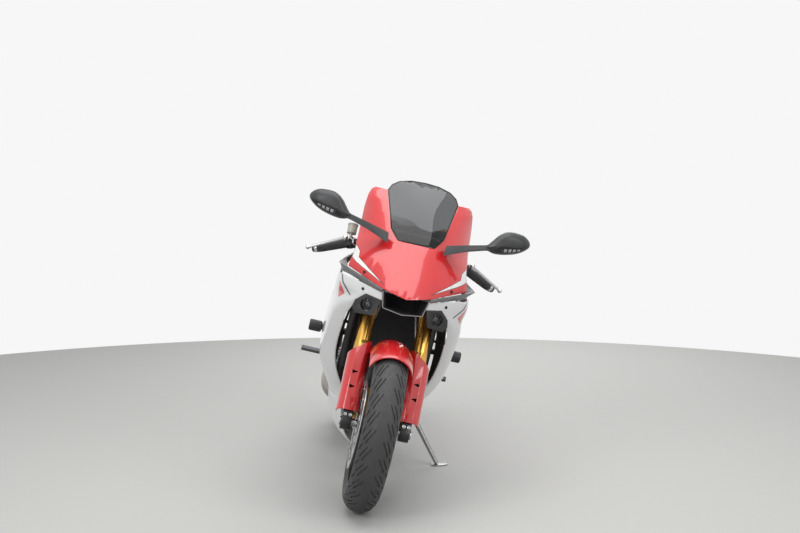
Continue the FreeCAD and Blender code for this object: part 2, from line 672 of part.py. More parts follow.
def rounded_block(width, depth, height, radius, way):
    """Make a centred block whose edges along one direction are rounded."""
    block = Part.makeBox(width, depth, height, Vector(-width / 2, -depth / 2, -height / 2))
    return block.makeFillet(radius, [edge for edge in block.Edges if abs(edge.tangentAt(0).dot(way)) > 0.9])


def faceted(rings):
    """Close flat facets round a row of rings with the same number of corners."""
    faces = []
    for ring, after in zip(rings, rings[1:]):
        for number, corner in enumerate(ring):
            following = (number + 1) % len(ring)
            for points in ((corner, ring[following], after[following]), (corner, after[following], after[number])):
                if points[1].distanceToPoint(points[2]) > 0.01 and points[0].distanceToPoint(points[1]) > 0.01:
                    faces.append(Part.Face(Part.makePolygon(list(points) + [points[0]])))
    for ring in (rings[0], rings[-1]):
        middle = sum(ring, Vector()) * (1 / len(ring))
        for number, corner in enumerate(ring):
            points = [corner, ring[(number + 1) % len(ring)], middle]
            faces.append(Part.Face(Part.makePolygon(points + [corner])))
    solid = Part.Solid(Part.Shell(faces))
    if solid.Volume < 0:
        solid.reverse()
    return solid


def raked_point(across, back, up):
    """Find a point of the steering head's frame in the bike's own frame."""
    return RAKED.multVec(Vector(across, back, up))


def steering_head():
    """Tube of the frame that the steering stem turns in."""
    low = size("lower_clamp_height + clamp_wall + steering_gap")
    high = size("upper_clamp_height - steering_gap")
    foot = raked_point(0, size("fork_offset"), low)
    top = raked_point(0, size("fork_offset"), high)
    return foot, top


def frame_spar(gap):
    """Left spar of the frame, or the room that it needs with a gap all round."""
    foot, top = steering_head()
    middle = (foot + top) * 0.5
    return beam([
        (middle + Vector(34, 14, -26), 40 + 2 * gap, 84 + 2 * gap, -24),
        (middle + Vector(80, 96, -67), 36 + 2 * gap, 108 + 2 * gap, -8),
        (Vector(134, 560, 398), 30 + 2 * gap, 104 + 2 * gap, -18),
        (Vector(130, 700, 292), 28 + 2 * gap, 100 + 2 * gap, -38),
        (Vector(88, size("pivot_y") - 14, size("pivot_z") + 130), 20 + 2 * gap, 92 + 2 * gap, -66)])


def main_frame():
    """Twin spars from the steering head to the plates at the swingarm's pivot."""
    foot, top = steering_head()
    pivot = Vector(0, size("pivot_y"), size("pivot_z"))
    spar = frame_spar(0)
    plate = side_prism([
        (pivot.y - 62, pivot.z + 190), (pivot.y + 34, pivot.z + 178), (pivot.y + 26, pivot.z),
        (pivot.y + 22, pivot.z - 128), (pivot.y - 28, pivot.z - 140), (pivot.y - 40, pivot.z - 40)], 78, 98)
    left = spar.fuse(plate)
    cross = rod(pivot + Vector(-80, 20, 205 - 30), pivot + Vector(80, 20, 205 - 30), 18)
    low_cross = rod(pivot + Vector(-80, -6, -122), pivot + Vector(80, -6, -122), 14)
    gusset = rod(foot + (top - foot) * 0.16, foot + (top - foot) * 0.84, size("head_radius + 6"))
    head = rod(foot, top, size("head_radius"))
    bracket = rod(Vector(86, pivot.y - 30, pivot.z - 124), stand_pivot() - stand_axis() * 27, 12)
    frame = head.fuse([gusset, left, left.mirror(Vector(), Vector(1, 0, 0)), cross, low_cross, bracket])
    bore = rod(foot - (top - foot), top + (top - foot), size("stem_radius") + 0.5)
    shaft = rod(pivot - Vector(120, 0, 0), pivot + Vector(120, 0, 0), size("pivot_radius + clamp_fit"))
    stand_boss = rod(stand_pivot() - stand_axis() * 33, stand_pivot() - stand_axis() * 13.4, 17)
    stand_room = rod(stand_pivot() - stand_axis() * 13.4, stand_pivot() + stand_axis() * 40, 24)
    bolt = rod(stand_pivot() - stand_axis() * 42, stand_pivot(), 5.2)
    frame = frame.fuse(stand_boss).cut([bore, shaft, stand_room, bolt])
    shaped("main_frame", frame.removeSplitter())


def stand_pivot():
    """Find the stand's pivot."""
    return Vector(size("stand_pivot_x"), size("stand_pivot_y"), size("stand_pivot_z"))


def stand_foot():
    """Find the stand's foot on the floor, in the bike's own frame."""
    return PARKED.inverse().multVec(Vector(size("stand_foot_x"), size("stand_foot_y"), size("foot_plate_wall")))


def stand_axis():
    """Direction of the stand's pivot, square to the leg both down and folded."""
    leg = (stand_foot() - stand_pivot()).normalize()
    folded = Vector(0.25, 0.95, -0.17).normalize()
    return leg.cross(folded).normalize()


def side_stand():
    """Side stand: an eye on its bolt, a leg and a plate flat on the floor."""
    axis = stand_axis()
    pivot = stand_pivot()
    foot = stand_foot()
    leg_way = (foot - pivot).normalize()
    eye = rod(pivot - axis * 13, pivot + axis * 13, 16)
    bolt = rod(pivot - axis * 38, pivot + axis * 14, 5)
    head = rod(pivot + axis * 13, pivot + axis * 19, 10)
    leg = Part.makeCone(size("stand_leg_radius + 2"), size("stand_leg_radius - 2"),
                        (foot - pivot).Length - 2, pivot, leg_way)
    plate = Part.Face(Part.Wire(Part.Ellipse(Vector(), 34, 21).toShape())).extrude(
        Vector(0, 0, size("foot_plate_wall")))
    plate.Placement = PARKED.inverse() * Placement(
        Vector(size("stand_foot_x") + 10, size("stand_foot_y"), 0), Rotation(Vector(0, 0, 1), 10))
    shaped("side_stand", eye.fuse([bolt, head, leg, plate]).removeSplitter())


def engine():
    """Crankcase, inclined cylinders and round covers of the engine."""
    body = new_body("engine")
    half = "engine_width / 2"
    case = sketch(body, "YZ")
    outline(case, [("434", "40"), ("452", "-4"), ("690", "-4"), ("700", "20"), ("700", "190"), ("560", "205"),
                   ("440", "150")])
    pad(body, case, "engine_width")
    sump = sketch(body, "YZ")
    outline(sump, [("470", "0"), ("640", "0"), ("628", "-78"), ("484", "-78")])
    pad(body, sump, "150")
    gearbox = sketch(body, "YZ")
    outline(gearbox, [("690", "-40"), ("770", "-30"), ("790", "60"), ("780", "200"), ("690", "200")])
    pad(body, gearbox, "148")
    block = sketch(body, "YZ")
    outline(block, [("444", "140"), ("590", "190"), ("575", "395"), ("450", "350")])
    pad(body, block, "226")
    clutch = sketch(body, "YZ", f"-({half} + 12)")
    circle(clutch, "606", "92", "68")
    pad(body, clutch, "14", False)
    rotor = sketch(body, "YZ", f"{half} + 12")
    circle(rotor, "520", "90", "56")
    pad(body, rotor, "14", False, True)
    shaft = sketch(body, "YZ", "72")
    circle(shaft, "front_sprocket_y", "pivot_z", "14")
    pad(body, shaft, "50", False)


def radiator():
    """Radiator core between its side tanks."""
    wall = size("radiator_wall")
    width = size("radiator_width")
    height = size("radiator_height")
    core = Part.makeBox(width - 44, wall - 8, height, Vector(-width / 2 + 22, 4, -height / 2))
    tank = Part.makeBox(24, wall, height, Vector(width / 2 - 24, 0, -height / 2))
    shape = core.fuse([tank, tank.mirror(Vector(), Vector(1, 0, 0))])
    shape = turned(shape, 8, Vector(1, 0, 0))
    shape.translate(Vector(0, 324, 262))
    shaped("radiator", shape.removeSplitter())


def silencer_mouth():
    """Find the front end of the silencer, behind the swingarm pivot."""
    return Vector(-120, size("pivot_y + 103"), -84)


def header_pipes():
    """Four header pipes that run down behind the radiator into the collector."""
    radius = size("header_radius")
    pipes = []
    for across in (-96, -33, 33, 96):
        near = across * 0.42
        pipes.append(pipe([
            Vector(across, 446, 262), Vector(across, 404, 232), Vector(across, 400, -20),
            Vector(near * 1.3, 450, -106), Vector(near, 600, -118)], (28, 60, 60), radius))
    collector = rounded_block(140, 190, 56, 20, Vector(0, 1, 0))
    collector.translate(Vector(0, 685, -116))
    link = pipe([Vector(-30, 770, -116), Vector(-60, 860, -112), silencer_mouth()], (60,), 25)
    doc.recompute()
    shape = pipes[0].fuse(pipes[1:] + [collector, link]).cut(PIECES["engine"][0].Shape)
    shape = max(shape.Solids, key=lambda part: part.Volume)
    shaped("header_pipes", shape.removeSplitter())


def silencer():
    """Short silencer low on the right side."""
    wires = []
    mouth = silencer_mouth()
    for step, wide, high in ((Vector(0, 0.3, 0), 52, 60), (Vector(-14, 47, 12), 80, 92),
                             (Vector(-28, 190, 38), 82, 104), (Vector(-30, 250, 50), 68, 88)):
        place = mouth + step
        ellipse = Part.Ellipse(Vector(), max(wide, high) / 2, min(wide, high) / 2)
        wire = Part.Wire(ellipse.toShape())
        wire.Placement = Placement(place, Rotation(Vector(0, 0, 1), Vector(0, 1, 0)))
        if high > wide:
            wire.rotate(place, Vector(0, 1, 0), 90)
        wires.append(wire)
    can = Part.makeLoft(wires, True, False)
    end = mouth + Vector(-32, 228, 52)
    way = Vector(-4, 46, 14).normalize()
    outlet = rod(end, end + way * 48, 24)
    hollow = rod(end + way * 10, end + way * 80, 20)
    can = can.fuse(outlet).cut([hollow, PIECES["header_pipes"][0].Shape])
    shaped("silencer", max(can.Solids, key=lambda part: part.Volume))


def tank_and_cap():
    """Fuel tank with knee recesses on the spars, a seat for its cap, and the hinged cap."""
    half = size("tank_width / 2")
    tank = section_loft([
        (408, 58, 545, 572, 618, 30), (462, 122, 492, 560, 655, 70), (570, half, 470, 575, 672, 84),
        (700, 116, 440, 560, 640, 62), (800, 80, 430, 520, 572, 46), (850, 68, 440, 505, 548, 42)])
    seat = Part.makeCylinder(48, 30, Vector(0, 560, 664))
    spar = frame_spar(0.4)
    room = [seat, spar, spar.mirror(Vector(), Vector(1, 0, 0))]
    shaped("fuel_tank", max(tank.cut(room).Solids, key=lambda part: part.Volume))
    lid = Part.makeCylinder(42, 9, Vector(0, 560, 664.5))
    lid = lid.makeChamfer(2, [edge for edge in lid.Edges if edge.Length > 200 and edge.CenterOfMass.z > 670])
    shaped("fuel_cap", lid)


def tail_shape():
    """Outer shape of the tail cowl."""
    return section_loft([
        (853, 84, 400, 440, 470, 62), (1000, 128, 432, 465, 500, 96), (1140, 134, 470, 505, 548, 100),
        (1350, 104, 540, 572, 618, 74), (1540, 62, 600, 622, 650, 40), (1615, 40, 622, 636, 652, 28)])


def seats_and_tail():
    """Tail cowl, the seats cut to sit on it, and what hangs from it."""
    tail = tail_shape()
    arch = Part.makeCylinder(size("rear_tyre_radius + 70"), 230, Vector(-115, 0, 0), Vector(1, 0, 0))
    arch.Placement = REAR_WHEEL * arch.Placement
    cowl = tail.cut(arch)
    shaped("tail_cowl", cowl)
    lifted = tail.copy()
    lifted.translate(Vector(0, 0, size("cowl_gap")))
    top = size("seat_height")
    rider = section_loft([
        (856, 62, 440, 500, top + 2, 40), (930, 96, 455, 505, top - 8, 60), (1040, 124, 470, 520, top + 2, 80),
        (1122, 122, 500, 540, top + 26, 84)]).cut(lifted)
    shaped("rider_seat", max(rider.Solids, key=lambda part: part.Volume))
    pillion = section_loft([
        (1130, 112, 520, 560, 620, 76), (1230, 100, 540, 590, 650, 70), (1370, 74, 590, 625, 664, 46)]).cut(lifted)
    shaped("pillion_seat", max(pillion.Solids, key=lambda part: part.Volume))
    lamp = section_loft([(1615 + size("cowl_gap"), 36, 624, 636, 650, 24), (1640, 26, 628, 636, 646, 18)])
    shaped("tail_lamp", lamp)
    lowered = cowl.copy()
    lowered.translate(Vector(0, 0, -size("cowl_gap")))
    arm = beam([(Vector(0, 1520, 620), 46, 60, 0), (Vector(0, 1600, 520), 30, 26, -50),
                (Vector(0, 1636, 440), 30, 20, -70)])
    plate = Part.makeBox(190, 4, 130, Vector(-95, 1640, 360))
    plate = turned(plate, 18, Vector(1, 0, 0), Vector(0, 1640, 430))
    stalk = rod(Vector(0, 1590, 520), Vector(120, 1596, 528), 6)
    pod = rod(Vector(104, 1596, 526), Vector(150, 1600, 530), 13)
    holder = arm.fuse([plate, stalk, pod]).fuse([stalk.mirror(Vector(), Vector(1, 0, 0)),
                                                 pod.mirror(Vector(), Vector(1, 0, 0))]).cut(lowered)
    shaped("plate_holder", max(holder.Solids, key=lambda part: part.Volume))
    rail = pipe([Vector(88, 800, 318), Vector(92, 960, 380), Vector(90, 1090, 470)], (200,), 12)
    strut = pipe([Vector(88, 850, 250), Vector(90, 960, 330), Vector(90, 1120, 470)], (200,), 9)
    left = rail.fuse(strut).cut([lowered, PIECES["main_frame"][0].Shape])
    left = max(left.Solids, key=lambda part: part.Volume)
    shaped("rear_subframe", both_sides(left))


def spool_mouth():
    """Find the mouth of the thread for a paddock stand's spool on the left arm."""
    return REAR_WHEEL.Base + Vector(size("arm_inside + arm_wall"), size("spool_place"), 0)


def swingarm():
    """Swingarm with its pivot tube, arms and axle plates."""
    pivot = Vector(0, size("pivot_y"), size("pivot_z"))
    axle = REAR_WHEEL.Base
    inside = size("arm_inside")
    wall = size("arm_wall")
    middle = inside + wall / 2
    arm = beam([
        (pivot + Vector(46, 20, -14), 44, 56, 0), (pivot + Vector(84, 120, -14), 60, 62, 0),
        (Vector(middle, pivot.y + 215, pivot.z - 14), wall, 74, 0),
        (Vector(middle, axle.y - 160, axle.z + 40), wall, 78, 8), (axle + Vector(middle, 60, 0), wall, 46, 0)],
        True)
    tube = rod(pivot - Vector(74, 0, 0), pivot + Vector(74, 0, 0), 28)
    brace = Part.makeBox(190, 40, 56, Vector(-95, pivot.y + 100, pivot.z - 42))
    arms = tube.fuse([arm, arm.mirror(Vector(), Vector(1, 0, 0)), brace])
    bores = rod(pivot - Vector(90, 0, 0), pivot + Vector(90, 0, 0), size("pivot_radius + clamp_fit"))
    axle_bore = rod(axle - Vector(200, 0, 0), axle + Vector(200, 0, 0), size("rear_axle_radius + clamp_fit"))
    thread = rod(spool_mouth() - Vector(size("spool_depth"), 0, 0), spool_mouth() + Vector(9, 0, 0),
                 size("spool_radius"))
    thread = thread.fuse(thread.mirror(Vector(), Vector(1, 0, 0)))
    shaped("swingarm", arms.cut([bores, axle_bore, thread]).removeSplitter())
    shaft = rod(pivot - Vector(102, 0, 0), pivot + Vector(102, 0, 0), size("pivot_radius"))
    reach = inside + wall - 1
    rear = rod(axle - Vector(reach + 10, 0, 0), axle + Vector(reach + 10, 0, 0), size("rear_axle_radius"))
    nut = rod(axle + Vector(reach + 1.5, 0, 0), axle + Vector(reach + 16, 0, 0), size("rear_axle_radius + 8"))
    axle_and_nuts = rear.fuse([nut, nut.mirror(Vector(), Vector(1, 0, 0))])
    shaped("rear_shafts", Part.makeCompound([shaft, axle_and_nuts]))


def sprocket_reach(teeth):
    """Radius of the chain's pins round a sprocket."""
    return size("chain_pitch") / 2 / math.sin(math.pi / size(teeth))


def chain_pins():
    """Find each pin of the chain round both sprockets, with the direction away from the loop."""
    rear = REAR_WHEEL.Base
    front = Vector(0, size("front_sprocket_y"), size("pivot_z"))
    rear_reach = sprocket_reach("rear_teeth")
    front_reach = sprocket_reach("front_teeth")
    way = rear - front
    spread = math.asin((rear_reach - front_reach) / way.Length)
    tangent = math.pi / 2 + spread
    run = way.Length * math.cos(spread) / size("chain_pitch")
    front_step = 2 * math.pi / size("front_teeth")
    rear_step = 2 * math.pi / size("rear_teeth")

    def spoke(angle):
        turn = angle + math.atan2(way.z, way.y)
        return Vector(0, math.cos(turn), math.sin(turn))

    def along(start, end, reach_start, reach_end, angle, share):
        first = start + spoke(angle) * reach_start
        last = end + spoke(angle) * reach_end
        return first + (last - first) * share, spoke(angle)

    pins = []
    lower = run + 2 * (math.pi - tangent) / front_step
    for number in range(int(size("chain_links"))):
        if number <= run:
            pins.append(along(rear, front, rear_reach, front_reach, tangent, number / run))
        elif number < lower:
            out = spoke(tangent + (number - run) * front_step)
            pins.append((front + out * front_reach, out))
        elif number <= lower + run:
            pins.append(along(front, rear, front_reach, rear_reach, -tangent, (number - lower) / run))
        else:
            out = spoke(-tangent + (number - lower - run) * rear_step)
            pins.append((rear + out * rear_reach, out))
    return pins


def toothed_wheel(reach, teeth, phase):
    """Sprocket blank about the X axis, with its teeth between the pins at a phase."""
    corners = []
    root = reach - size("roller_half") - 0.7
    for tooth in range(int(size(teeth))):
        middle = phase + (tooth + 0.5) * 2 * math.pi / size(teeth)
        for radius, half in ((root, -3.0), (reach + 4, -1.4), (reach + 4, 1.4), (root, 3.0)):
            angle = middle + half / reach
            corners.append(Vector(0, math.cos(angle) * radius, math.sin(angle) * radius))
    return prism(corners, Vector(size("sprocket_wall"), 0, 0))


def drive_chain():
    """Closed drive chain of plates and rollers, open where the rear teeth turn, with the front sprocket."""
    pins = chain_pins()
    middle = size("chain_place")
    plate = size("chain_plate")
    half = size("roller_half")

    def loop(side):
        points = []
        for (pin, out), (after, turned_out) in zip(pins, pins[1:] + pins[:1]):
            points.append(pin + out * side * size("chain_height") / 2)
            points.append((pin + after) * 0.5 + (out + turned_out) * 0.5 * side * size("chain_waist") / 2)
        return Part.Face(Part.makePolygon(points + points[:1]))

    ring = loop(1).cut(loop(-1))
    inside = size("chain_wall") / 2 - plate
    outer_plates = ring.extrude(Vector(plate, 0, 0))
    outer_plates.translate(Vector(middle + inside, 0, 0))
    inner_plates = ring.extrude(Vector(plate, 0, 0))
    inner_plates.translate(Vector(middle - inside - plate, 0, 0))
    rollers = []
    for pin, out in pins:
        along = Vector(1, 0, 0).cross(out)
        corners = [pin + out * high + along * wide + Vector(middle - inside, 0, 0)
                   for high, wide in ((-half, -half), (half, -half), (half, half), (-half, half))]
        rollers.append(prism(corners, Vector(2 * inside, 0, 0)))
    centre = REAR_WHEEL.Base + Vector(middle, 0, 0)
    turning = rod(centre - Vector(inside, 0, 0), centre + Vector(inside, 0, 0),
                  sprocket_reach("rear_teeth") + 4 + size("tooth_gap"))
    free = [roller.cut(turning) for roller in rollers]
    chain = outer_plates.fuse([inner_plates] + [roller for roller in free if roller.Volume > 1])
    front = Vector(middle - size("sprocket_wall") / 2, size("front_sprocket_y"), size("pivot_z"))
    first = min(pins, key=lambda entry: entry[0].y)[0] - front
    wheel = toothed_wheel(sprocket_reach("front_teeth"), "front_teeth", math.atan2(first.z, first.y))
    wheel.translate(front)
    wheel = wheel.cut(rod(front - Vector(1, 0, 0), front + Vector(20, 0, 0), 14 + size("clamp_fit")))
    shaped("drive_chain", Part.makeCompound([chain, wheel]))


def rear_sprocket():
    """Rear sprocket on the left of the hub."""
    reach = sprocket_reach("rear_teeth")
    place = size("chain_place") - size("sprocket_wall") / 2
    first = max(chain_pins(), key=lambda entry: entry[0].y)[0] - REAR_WHEEL.Base
    plate = toothed_wheel(reach, "rear_teeth", math.atan2(first.z, first.y))
    plate.translate(Vector(place, 0, 0))
    windows = []
    for turn in range(5):
        angle = math.radians(72 * turn)
        spot = Vector(place - 1, math.cos(angle) * 76, math.sin(angle) * 76)
        windows.append(rod(spot, spot + Vector(20, 0, 0), 11))
    carrier = rod(Vector(size("rear_hub_width / 2"), 0, 0), Vector(place, 0, 0), 62)
    hole = rod(Vector(), Vector(200, 0, 0), size("rear_axle_radius + axle_fit"))
    shaped("rear_sprocket", plate.cut(windows).fuse(carrier).cut(hole).removeSplitter(), REAR_WHEEL)


def rear_caliper():
    """Rear brake caliper over its disc, on a bracket from the right arm."""
    place = -size("rear_disc_place")
    reach = size("rear_disc_radius")
    block = Part.makeBox(40, 74, 46, Vector(place - 20, -96, 62))
    slot = Part.makeCylinder(reach + 6, size("disc_wall") + 10, Vector(place - size("disc_wall") / 2 - 5, 0, 0),
                             Vector(1, 0, 0))
    bracket = Part.makeBox(5, 60, 60, Vector(place - 25.3, -90, 20))
    caliper = block.cut(slot).fuse(bracket)
    shaped("rear_caliper", caliper.removeSplitter(), REAR_WHEEL)


def rear_hugger():
    """Fender close over the rear tyre, carried by the swingarm."""
    inner = size("rear_tyre_radius") + 10
    half = size("rear_tyre_width / 2") + 4
    wall = size("cowl_wall")
    drop = inner - 60
    outer_arc = Part.Arc(Vector(-half - wall, 0, drop), Vector(0, 0, inner + wall), Vector(half + wall, 0, drop))
    inner_arc = Part.Arc(Vector(half, 0, drop), Vector(0, 0, inner), Vector(-half, 0, drop))
    wire = Part.Wire([
        outer_arc.toShape(), Part.LineSegment(Vector(half + wall, 0, drop), Vector(half, 0, drop)).toShape(),
        inner_arc.toShape(), Part.LineSegment(Vector(-half, 0, drop), Vector(-half - wall, 0, drop)).toShape()])
    arch = turned(Part.Face(wire), 84, Vector(1, 0, 0)).revolve(Vector(), Vector(1, 0, 0), -62)
    lug = Part.makeBox(size("arm_inside") - half - 1, 35, 12, Vector(half + 1, -290, 42))
    shaped("rear_hugger", arch.fuse([lug, lug.mirror(Vector(), Vector(1, 0, 0))]).removeSplitter(), REAR_WHEEL)


def rear_shock():
    """Spring and damper between the frame and the swingarm."""
    top = Vector(0, size("pivot_y") + 20, size("pivot_z") + 152)
    foot = Vector(0, size("pivot_y") + 160, size("pivot_z") - 10)
    way = (top - foot).normalize()
    body = rod(foot, top, 15)
    spring = [rod(foot + way * (44 + 17 * turn), foot + way * (53 + 17 * turn), 30) for turn in range(6)]
    shock = body.fuse(spring).cut([PIECES["main_frame"][0].Shape, PIECES["swingarm"][0].Shape])
    shaped("rear_shock", max(shock.Solids, key=lambda part: part.Volume))


def nose_rows():
    """Outer face of the nose cowl as level rows from side to side."""
    rows = []
    for height, centre, crease, middle, outer in (
            (462, -57, (91, -22), (152, 40), (216, 112)), (540, -1, (84, 20), (152, 62), (216, 124)),
            (580, 28, (79, 46), (145, 86), (207, 148)), (655, 82, (70, 94), (140, 150), (204, 240)),
            (741, 160, (112, 196), (163, 240), (203, 302)), (786, 214, (124, 248), (164, 276), (198, 318)),
            (806, 240, (131, 276), (164, 298), (190, 328)), (816, 252, (134, 289), (160, 308), (176, 330))):
        half = [crease, middle, outer]
        left = [Vector(across, back, height) for across, back in half]
        right = [Vector(-across, back, height) for across, back in half[::-1]]
        rows.append(right + [Vector(0, centre, height)] + left)
    return rows


def towards_rear(point):
    """Inner side of the nose."""
    return Vector(-point.x * 0.6, 200, 0)


def nose_cowl():
    """Nose cowl with flanks beside the screen."""
    shell = curved_sheet(nose_rows(), size("cowl_wall"), towards_rear, (2, 4), True)
    below = front_prism([(-320, 380), (320, 380), (320, 560), (216, 526), (88, 488), (0, 471), (-88, 488),
                         (-216, 526), (-320, 560)], -200, 500)
    window = front_prism([(-67, 655), (67, 655), (98, 690), (134, 816), (134, 900), (-134, 900), (-134, 816),
                          (-98, 690)], -200, 500)
    shaped("nose_cowl", shell.cut([below, window]).removeSplitter())


def windscreen():
    """Screen set between the flanks of the nose."""
    rows = []
    for height, centre, side, edge in ((640, 71, (40, 76), (78, 84)), (700, 116, (60, 124), (104, 150)),
                                       (760, 176, (70, 190), (124, 222)), (815, 246, (76, 258), (140, 289)),
                                       (880, 344, (76, 348), (140, 362))):
        left = [Vector(across, back, height) for across, back in (side, edge)]
        right = [Vector(-across, back, height) for across, back in (edge, side)]
        rows.append(right + [Vector(0, centre, height)] + left)
    shell = curved_sheet(rows, size("screen_wall"), towards_rear)
    gap = size("cowl_gap")
    keep_in = front_prism([
        (-67 + gap, 655 + gap), (67 - gap, 655 + gap), (98 - gap, 690), (134 - gap, 816), (122, 838), (96, 856),
        (52, 867), (0, 870), (-52, 867), (-96, 856), (-122, 838), (-134 + gap, 816), (-98 + gap, 690)], -200, 600)
    shaped("windscreen", shell.common(keep_in))


def cowl_rows():
    """Outer face of the left side cowl as level rows from the front to the rear, before it is trimmed."""
    table = (
        (500, ((76, -22), (150, 42), (214, 108), (238, 290), (222, 480))),
        (447, ((74, -12), (156, 50), (222, 126), (241, 300), (230, 500))),
        (406, ((148, 62), (208, 114), (236, 204), (244, 330), (236, 520))),
        (311, ((190, 160), (228, 204), (246, 286), (250, 400), (240, 590))),
        (211, ((190, 245), (226, 290), (244, 366), (246, 480), (236, 660))),
        (154, ((180, 280), (214, 326), (237, 412), (238, 530), (226, 720))),
        (96, ((155, 315), (190, 358), (215, 436), (218, 570), (205, 760))),
        (12, ((120, 352), (148, 388), (165, 440), (168, 600), (158, 800))))
    return [[Vector(across, back, height) for across, back in row] for height, row in table]


def cowl_trim():
    """Space for the lamp pod and the wheel that is cut out of the left side cowl, from the front."""
    return front_prism([(0, 600), (86, 600), (86, 478), (79.5, 447), (137, 453), (168, 421), (173, 394),
                        (186, 358), (189, 316), (0, 316)], -200, 400)


def side_cowls():
    """Side cowls, open behind, and the belly pan that closes them below."""
    shell = curved_sheet(cowl_rows(), size("cowl_wall"), lambda point: Vector(-point.x, 300 - point.y, 0))
    outside = side_prism([(0, 600), (1000, 600), (1000, -50), (680, -50), (690, 60), (650, 150), (560, 200),
                          (520, 300), (550, 400), (480, 470), (250, 492), (0, 492)], 20, 320)
    hole = rod(Vector(100, size("puck_y"), size("puck_z")), Vector(320, size("puck_y"), size("puck_z")), 16)
    vent = side_prism([(404, 448), (434, 452), (418, 268), (396, 276)], 20, 320)
    above = front_prism([(60, 467), (87, 473), (209, 496), (260, 490), (260, 600), (60, 600)], -200, 240)
    side = shell.cut([outside, hole, vent, above, cowl_trim()])
    side = max(side.Solids, key=lambda part: part.Volume)
    shaped("side_cowls", both_sides(side))
    edge = cowl_rows()[-1]
    rows = [[Vector(point.x * share + shift, point.y, height) for point in edge]
            for height, share, shift in ((12 - size("cowl_gap"), 1, 0), (-60, 0.9, 0), (-120, 0.66, 0),
                                         (-160, 0.2, 0), (-168, 0, -6))]
    half = curved_sheet(rows, size("cowl_wall"), lambda point: Vector(-point.x, 300 - point.y, 0))
    behind = side_prism([(700, 60), (690, 12), (664, -60), (600, -180), (900, -180), (900, 60)], -300, 300)
    pan = half.fuse(half.mirror(Vector(), Vector(1, 0, 0))).cut(behind)
    shaped("belly_pan", pan.removeSplitter())


def nose_trims():
    """Dark blades under the nose cowl on each side."""
    rings = []
    for low, high in ((Vector(87, -14, 476), Vector(88, -16, 486)), (Vector(150, 46, 486), Vector(165, 48, 509)),
                      (Vector(208, 106, 500), Vector(252, 150, 531)), (Vector(238, 236, 494), Vector(228, 232, 548)),
                      (Vector(232, 330, 494), Vector(196, 318, 566))):
        behind = Vector(-4, 7, 0) if high.y < 160 else Vector(-7, 0, 0)
        rings.append([low, high, high + behind, low + behind])
    blade = faceted(rings)
    shaped("nose_trims", both_sides(blade))


def headlamps():
    """Round lamps in dark pods beside the intake."""
    face = [(81, 446.5), (137, 453), (168, 421), (173, 394), (160, 376), (98, 386)]
    front = [Vector(across, (across - 84) * 0.72 - 6, up) for across, up in face]
    back = [Vector(across * 0.94 + 4, 92 + (across - 88) * 0.2, 415 + (up - 415) * 0.6) for across, up in face]
    pod = Part.makeLoft([Part.makePolygon(front + front[:1]), Part.makePolygon(back + back[:1])], True, True)
    pod = pod.cut(PIECES["side_cowls"][0].Shape)
    pod = max(pod.Solids, key=lambda part: part.Volume)
    centre = Vector(127, 22, 416)
    way = Vector(0.34, -0.92, -0.16).normalize()
    radius = size("lamp_radius")
    socket = rod(centre - way * 30, centre + way * 40, radius + size("cowl_gap"))
    lens = rod(centre - way * 29.6, centre - way * 2, radius)
    lens = lens.makeFillet(5, [edge for edge in lens.Edges if edge.Closed and
                               (edge.CenterOfMass - centre).dot(way) > -10])
    shaped("headlamp_pods", both_sides(pod.cut(socket)))
    shaped("headlamp_lenses", both_sides(lens))


def air_intake():
    """Intake mouth under the nose and its duct to the steering head."""
    wall = size("cowl_wall")
    mouth = [Vector(-84, -16, 479), Vector(84, -16, 479), Vector(71, 0, 422), Vector(0, 3.4, 410),
             Vector(-71, 0, 422)]
    throat = [Vector(-52, 118, 474), Vector(52, 118, 474), Vector(48, 118, 428), Vector(0, 118, 420),
              Vector(-48, 118, 428)]
    hollow = []
    for ring, back in ((mouth, -2), (throat, 2)):
        middle = sum(ring, Vector()) * 0.2
        hollow.append([point + (middle - point).normalize() * wall * 1.3 + Vector(0, back, 0) for point in ring])
    shaped("air_intake", faceted([mouth, throat]).cut(faceted(hollow)))


def mirrors():
    """Mirrors on stalks from the flanks of the nose."""
    edge = [Vector(across, 124 + (across - 240) * 0.2, up) for across, up in (
        (240, 700), (268, 728), (292, 757), (316, 771), (352, 773), (386, 764), (406, 738),
        (388, 714), (342, 692), (292, 683), (254, 690))]
    middle = sum(edge, Vector()) * (1 / len(edge))
    rings = []
    for share, back in ((0.3, -30), (0.72, -24), (0.94, -10), (1, 2), (0.97, 12)):
        ring = Part.BSplineCurve()
        ring.interpolate(Points=[middle + (point - middle) * share + Vector(0, back, 0) for point in edge],
                         PeriodicFlag=True)
        rings.append(Part.Wire(ring.toShape()))
    shell = Part.makeLoft(rings, True)
    stalk = faceted([
        [Vector(105, 90, 676), Vector(118, 130, 656), Vector(100, 74, 640)],
        [Vector(180, 98, 694), Vector(184, 122, 682), Vector(180, 92, 670)],
        [Vector(244, 112, 708), Vector(246, 130, 698), Vector(244, 106, 688)],
        [Vector(300, 124, 728), Vector(300, 138, 712), Vector(300, 120, 698)]])
    base = shell.fuse(stalk)
    shaped("mirrors", both_sides(base.removeSplitter()))


def instrument_panel():
    """Instrument panel behind the screen, on the nose's stay."""
    panel = turned(rounded_block(170, 24, 80, 12, Vector(0, 1, 0)), 25, Vector(1, 0, 0))
    panel.translate(Vector(0, 150, 648))
    shaped("instrument_panel", panel)


